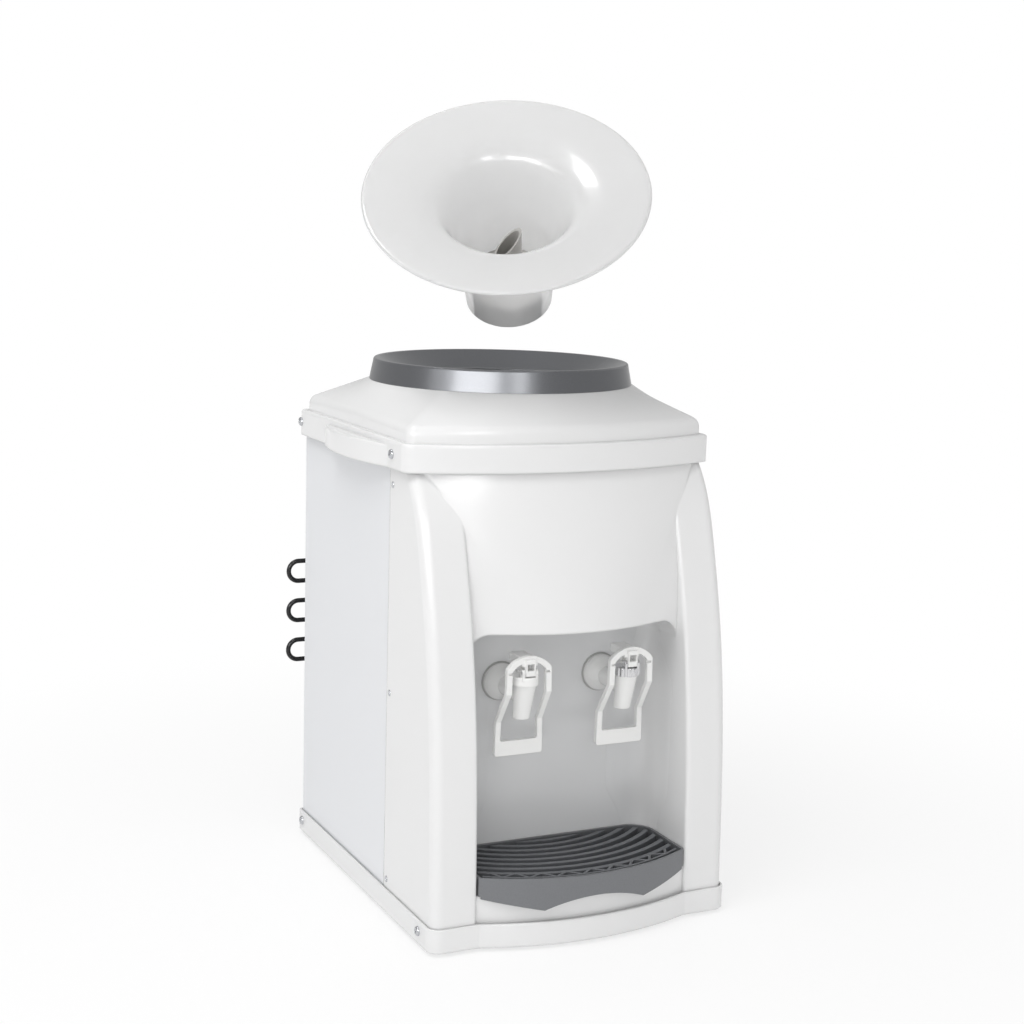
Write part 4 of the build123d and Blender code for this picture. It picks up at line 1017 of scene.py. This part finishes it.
@dataclass
class BottleSeat(SubAssembly):
    """Collar, funnel with its spike, and the chilled tank under them.

    Attributes:
        axis_y: place of the funnel's axis when it is seated.
        seat: height of its rim plane when it is seated.
        swing: turn in degrees from the seat to the lifted place.
        wall: thickness of the funnel, in millimetres as all of its lines are.
        bowl: inside line of the bowl as radius, depth and slope in degrees.
        lip: round of the rim as radius and depth, from the inside to the underside.
        neck: line of the neck under the bowl as radius and depth, down its inside and round its end.
        bowl_steps: points on each stretch of the bowl's line.
        sides: points round the funnel.
        neck_painted_glow: paler colour painted on the neck, a painted glow that stands for light coming through it
            from all round.
        neck_glow_from: depth under the rim where the bowl starts to turn paler with that painted glow.
        neck_glow_to: depth at which it is as pale as the neck.
    """

    nodes: tuple[str, ...] = (
        "collar_ring", "bottle_funnel", "bottle_spike", "water_tank", "tank_floor", "tank_insulation",
        "insulation_pad", "evaporator_coil", "tank_shelf")
    axis_y: float = 28.3 * MM
    seat: float = 505.8 * MM
    swing: float = 41.369
    wall: float = 2.2
    bowl: tuple[Point, ...] = (
        (126.4, 0.0, 5.5), (108.0, 2.0, 7.5), (88.0, 4.9, 11.0), (76.0, 8.4, 20.5), (65.0, 15.0, 42.0),
        (58.5, 23.8, 61.0), (50.0, 44.5, 71.0), (44.5, 65.0, 77.0), (41.0, 89.5, 83.0))
    lip: tuple[Span, ...] = (
        (127.6, 0.2), (128.5, 0.9), (128.9, 2.0), (128.7, 3.1), (127.9, 3.7), (126.9, 3.3), (126.2, 2.5))
    neck: tuple[Span, ...] = (
        (38.9, 105.0), (35.6, 105.0), (35.6, 107.0), (38.7, 107.0), (38.1, 128.9), (38.7, 129.6),
        (39.8, 129.6), (40.3, 128.9))
    bowl_steps: int = 8
    sides: int = 160
    neck_painted_glow: Colour = (0.94, 0.94, 0.94)
    neck_glow_from: float = 45.0 * MM
    neck_glow_to: float = 95.0 * MM

    def fit_funnel(self) -> None:
        """Put the trumpet-shaped funnel with its rolled rim in place of the plainer one."""
        lift = joint_of("funnel_lift")
        pivot = Matrix.Translation(lift["pos_m"])
        turn = Matrix.Rotation(math.radians(self.swing), 4, Vector(lift["axis"]))
        seated = Matrix.Translation((0.0, self.axis_y, self.seat))
        rings = [ring_of(reach * MM, -depth * MM, self.sides) for reach, depth in self._profile()]
        form = MeshBatch()
        form.add_rings(rings, closed=True)
        place = pivot @ turn @ pivot.inverted() @ seated
        axis = (place.to_3x3() @ Vector((0.0, 0.0, 1.0))).normalized()
        rim = place.translation.dot(axis)
        # Painted light: the bowl runs into the neck's paler colour, so the neck looks lit through.
        milky = replace(
            FINISHES["funnel_milky"], fade=self.neck_painted_glow, painted_light_along=tuple(axis),
            painted_light_span=(rim - self.neck_glow_from, rim - self.neck_glow_to))
        mesh = form.copies(place).mesh("trumpet_funnel", crease=50.0)
        self.add_piece(mesh, milky, "funnel", ("bottle_funnel",))

    def _profile(self) -> list[Span]:
        """Closed line of the funnel's wall.

        Returns:
            Radius and depth of its points, in millimetres.
        """
        inside, outside = [], []
        for (r0, d0, s0), (r1, d1, s1) in zip(self.bowl, self.bowl[1:]):
            chord = math.hypot(r1 - r0, d1 - d0)
            starts = (Vector((r0, d0)), Vector((r1, d1)))
            angles = (math.radians(s0), math.radians(s1))
            slopes = [Vector((-math.cos(angle), math.sin(angle))) * chord for angle in angles]
            for step in range(self.bowl_steps):
                t = step / self.bowl_steps
                point = (
                    starts[0] * (2 * t ** 3 - 3 * t ** 2 + 1) + slopes[0] * (t ** 3 - 2 * t ** 2 + t)
                    + starts[1] * (3 * t ** 2 - 2 * t ** 3) + slopes[1] * (t ** 3 - t ** 2))
                along = (
                    starts[0] * (6 * t ** 2 - 6 * t) + slopes[0] * (3 * t ** 2 - 4 * t + 1)
                    + starts[1] * (6 * t - 6 * t ** 2) + slopes[1] * (3 * t ** 2 - 2 * t)).normalized()
                inside.append((point.x, point.y))
                outside.append((point.x + self.wall * along.y, point.y - self.wall * along.x))
        return inside + list(self.neck) + outside[:0:-1] + list(reversed(self.lip))


@dataclass
class DripTray(SubAssembly):
    """Tray under the taps and its slatted grille."""

    nodes: tuple[str, ...] = ("drip_tray", "drip_grille")


@dataclass
class CoolingSet(SubAssembly):
    """Compressor, pipes, condenser and thermostat.

    Attributes:
        ribs: how many ribs run round the knob's skirt.
        rib: height of a rib.
        rib_root: how far a rib goes into the skirt.
        rib_length: length of a rib.
        rib_lift: how far from the skirt's inner end the ribs start.
        pointer: half the width of the pale line on the knob.
        pointer_depth: how far the line goes into the grip and stands out of it.
        pointer_gap: how far it ends from the knob's middle and from its edge.
    """

    nodes: tuple[str, ...] = (
        "compressor", "compressor_plate", "compressor_grommets", "filter_drier", "liquid_line",
        "suction_line", "discharge_line", "condenser_tube", "condenser_wires", "condenser_brackets",
        "thermostat", "thermostat_knob", "cord_gland")
    ribs: int = 40
    rib: float = 0.5 * MM
    rib_root: float = 0.6 * MM
    rib_length: float = 3.6 * MM
    rib_lift: float = 0.2 * MM
    pointer: float = 0.6 * MM
    pointer_depth: Span = (0.3 * MM, 0.1 * MM)
    pointer_gap: Span = (1.5 * MM, 1.6 * MM)

    def fit_knob_details(self) -> None:
        """Add the ribs round the knob's skirt and the pale line on its grip."""
        low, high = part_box("thermostat_knob")
        middle = (low + high) / 2
        radius = (high.x - low.x) / 2
        half = 0.5 * self.rib
        form = MeshBatch()
        form.add_rings(slab(
            (radius - self.rib_root, -half, 0.0), (radius + self.rib, half, self.rib_length)))
        start = Matrix.Translation((middle.x, low.y + self.rib_lift, middle.z))
        upright = start @ Matrix.Rotation(-math.pi / 2, 4, "X")
        turns = [Matrix.Rotation(2.0 * math.pi * step / self.ribs, 4, "Z") for step in range(self.ribs)]
        ribs = form.copies(*(upright @ turn for turn in turns))
        self.add_piece(ribs.mesh("knob_ribs"), FINISHES["switch_black"], "knob")
        (sink, rise), (inner, outer) = self.pointer_depth, self.pointer_gap
        line = MeshBatch()
        line.add_rings(slab(
            (middle.x - self.pointer, high.y - sink, middle.z + inner),
            (middle.x + self.pointer, high.y + rise, high.z - outer)))
        self.add_piece(line.mesh("knob_pointer"), FINISHES["plunger_white"], "knob")


@dataclass(frozen=True)
class Lamp:
    """One soft lamp.

    Attributes:
        name: its name.
        place: where it hangs.
        target: where it aims.
        size: its two sides.
        power: its power in watts.
        lights: whether it lights surfaces.
        shows: whether glossy surfaces mirror it.
    """

    name: str
    place: Point
    target: Point
    size: Span
    power: float
    lights: bool = True
    shows: bool = True

    def hang(self) -> None:
        """Add the lamp to the scene."""
        data = bpy.data.lights.new(self.name, "AREA")
        data.shape = "RECTANGLE"
        data.size, data.size_y = self.size
        data.energy = self.power
        lamp = add_object(self.name, data)
        lamp.location = self.place
        aim = Vector(self.target) - Vector(self.place)
        lamp.rotation_euler = aim.to_track_quat("-Z", "Y").to_euler()
        lamp.visible_diffuse = self.lights
        lamp.visible_glossy = self.shows


@dataclass
class Studio:
    """White sweep, soft lamps and the camera.

    Attributes:
        camera_place: camera position in metres.
        yaw: turn of the view from +Y towards +X, in degrees.
        pitch: fall of the view in degrees.
        roll: turn about the view axis in degrees.
        lens: focal length in millimetres.
        sensor: width of the camera's frame in millimetres.
        clip: how far the camera sees.
        floor_size: length of the floor's sides.
        floor_tone: lightness of the floor where it takes light.
        floor_roughness: its roughness.
        ambient: strength of the even light all round.
        mirrored: how white the room looks in gloss and bright metal.
        near_white: how white the floor looks next to the object, before its shadow.
        white_from: distance from the middle where the floor starts to whiten.
        white_at: distance at which it is plain white.
        lamps: the soft lamps.
    """

    camera_place: Point = (-0.7394, -1.5453, 0.646)
    yaw: float = 25.65
    pitch: float = 9.59
    roll: float = 1.613
    lens: float = 63.95
    sensor: float = 36.0
    clip: float = 60.0
    floor_size: float = 14.0
    floor_tone: float = 0.92
    floor_roughness: float = 0.9
    ambient: float = 0.66
    mirrored: float = 0.52
    near_white: float = 0.72
    white_from: float = 0.30
    white_at: float = 0.95
    lamps: tuple[Lamp, ...] = (
        Lamp("key_softbox", (-0.45, -2.10, 0.95), (0.0, -0.05, 0.40), (0.60, 0.60), 2.2),
        Lamp("top_softbox", (-0.90, -0.50, 2.05), (0.0, 0.0, 0.35), (1.1, 1.3), 19.0, shows=False),
        Lamp("low_softbox", (-1.10, -1.80, 0.22), (0.0, -0.05, 0.35), (0.9, 0.4), 5.0, shows=False),
        Lamp("side_card", (-1.55, -1.50, 1.02), (0.0, -0.05, 0.45), (1.60, 0.60), 17.0, lights=False),
        Lamp("collar_card", (-1.30, -1.30, 1.14), (0.0, 0.0, 0.49), (1.10, 0.40), 2.6, lights=False),
        Lamp("left_card", (-1.60, -0.45, 1.05), (0.0, 0.0, 0.49), (0.90, 0.45), 2.2, lights=False),
        Lamp("front_card", (-0.25, -2.10, 1.40), (0.0, -0.1, 0.65), (0.45, 0.50), 5.0, lights=False),
        Lamp("top_card", (-0.72, 0.20, 2.05), (0.0, -0.1, 0.65), (0.45, 0.55), 6.5, lights=False),
    )

    def place_camera(self) -> None:
        """Stand the camera at the viewing angle."""
        data = bpy.data.cameras.new("camera")
        data.sensor_width = self.sensor
        data.lens = self.lens
        data.clip_end = self.clip
        camera = add_object("camera", data)
        turn = Matrix.Rotation(math.radians(-self.yaw), 4, "Z")
        tilt = Matrix.Rotation(math.radians(90.0 - self.pitch), 4, "X")
        twist = Matrix.Rotation(math.radians(self.roll), 4, "Z")
        camera.matrix_world = Matrix.Translation(self.camera_place) @ turn @ tilt @ twist
        bpy.context.scene.camera = camera

    def hang_lamps(self) -> None:
        """Hang every lamp."""
        for lamp in self.lamps:
            lamp.hang()

    @staticmethod
    def _seen(tree: Tree) -> Socket:
        """Mask of the rays by which the background is seen, straight, mirrored or through glass.

        Args:
            tree: the node tree to add to.

        Returns:
            The mask's socket.
        """
        path = tree.nodes.new("ShaderNodeLightPath")
        mask = path.outputs["Is Camera Ray"]
        for ray in ("Is Glossy Ray", "Is Transmission Ray"):
            mask = add_math(tree, "MAXIMUM", mask, path.outputs[ray])
        return mask

    def paint_world(self) -> None:
        """Even light all round, plain white where the background itself is seen and dimmer in gloss."""
        world = bpy.data.worlds.new("white_room")
        bpy.context.scene.world = world
        world.use_nodes = True
        tree = world.node_tree
        light = tree.nodes["Background"]
        light.inputs["Color"].default_value = (1.0, 1.0, 1.0, 1.0)
        level = add_range(tree, self._seen(tree), target=(self.ambient, 1.0))
        rays = tree.nodes.new("ShaderNodeLightPath")
        share = add_range(tree, rays.outputs["Is Glossy Ray"], target=(1.0, self.mirrored))
        tree.links.new(add_math(tree, "MULTIPLY", level, share), light.inputs["Strength"])

    def lay_floor(self) -> None:
        """Lay a pale floor that keeps a soft shadow and runs out into white."""
        mesh = bpy.data.meshes.new("floor")
        half = self.floor_size / 2
        corners = [(-half, -half, 0), (half, -half, 0), (half, half, 0), (-half, half, 0)]
        mesh.from_pydata(corners, [], [(0, 1, 2, 3)])
        floor = add_object("floor", mesh)
        material = bpy.data.materials.new("floor_white")
        material.use_nodes = True
        tree = material.node_tree
        nodes, links = tree.nodes, tree.links
        matt = nodes["Principled BSDF"]
        tone = self.floor_tone
        set_inputs(matt, {
            "Base Color": (tone, tone, tone, 1.0), "Roughness": self.floor_roughness,
            "Specular IOR Level": 0.0})
        glow = nodes.new("ShaderNodeEmission")
        where = nodes.new("ShaderNodeNewGeometry")
        reach = nodes.new("ShaderNodeVectorMath")
        reach.operation = "LENGTH"
        links.new(where.outputs["Position"], reach.inputs[0])
        rise = add_range(
            tree, reach.outputs["Value"], source=(self.white_from, self.white_at),
            target=(self.near_white, 1.0), smooth=True)
        mix = nodes.new("ShaderNodeMixShader")
        links.new(add_math(tree, "MULTIPLY", self._seen(tree), rise), mix.inputs[0])
        links.new(matt.outputs[0], mix.inputs[1])
        links.new(glow.outputs[0], mix.inputs[2])
        links.new(mix.outputs[0], nodes["Material Output"].inputs["Surface"])
        mesh.materials.append(material)


def main() -> None:
    """Dress the dispenser, add its fine pieces and set up the studio."""
    logging.basicConfig(level=logging.INFO, format="%(name)s: %(message)s")
    bpy.context.scene.view_settings.view_transform = "Standard"
    shop = FinishShop()
    cabinet, taps, seat, cooling = Cabinet(shop), TapPair(shop), BottleSeat(shop), CoolingSet(shop)
    for part in (cabinet, taps, seat, DripTray(shop), cooling):
        part.dress()
    cabinet.fit_screws()
    cabinet.line_niche()
    taps.fit_bright_cap()
    taps.fit_springs()
    seat.fit_funnel()
    cooling.fit_knob_details()
    studio = Studio()
    studio.paint_world()
    studio.hang_lamps()
    studio.lay_floor()
    studio.place_camera()
    LOG.info("studio is set")


if __name__ == "__main__":
    main()
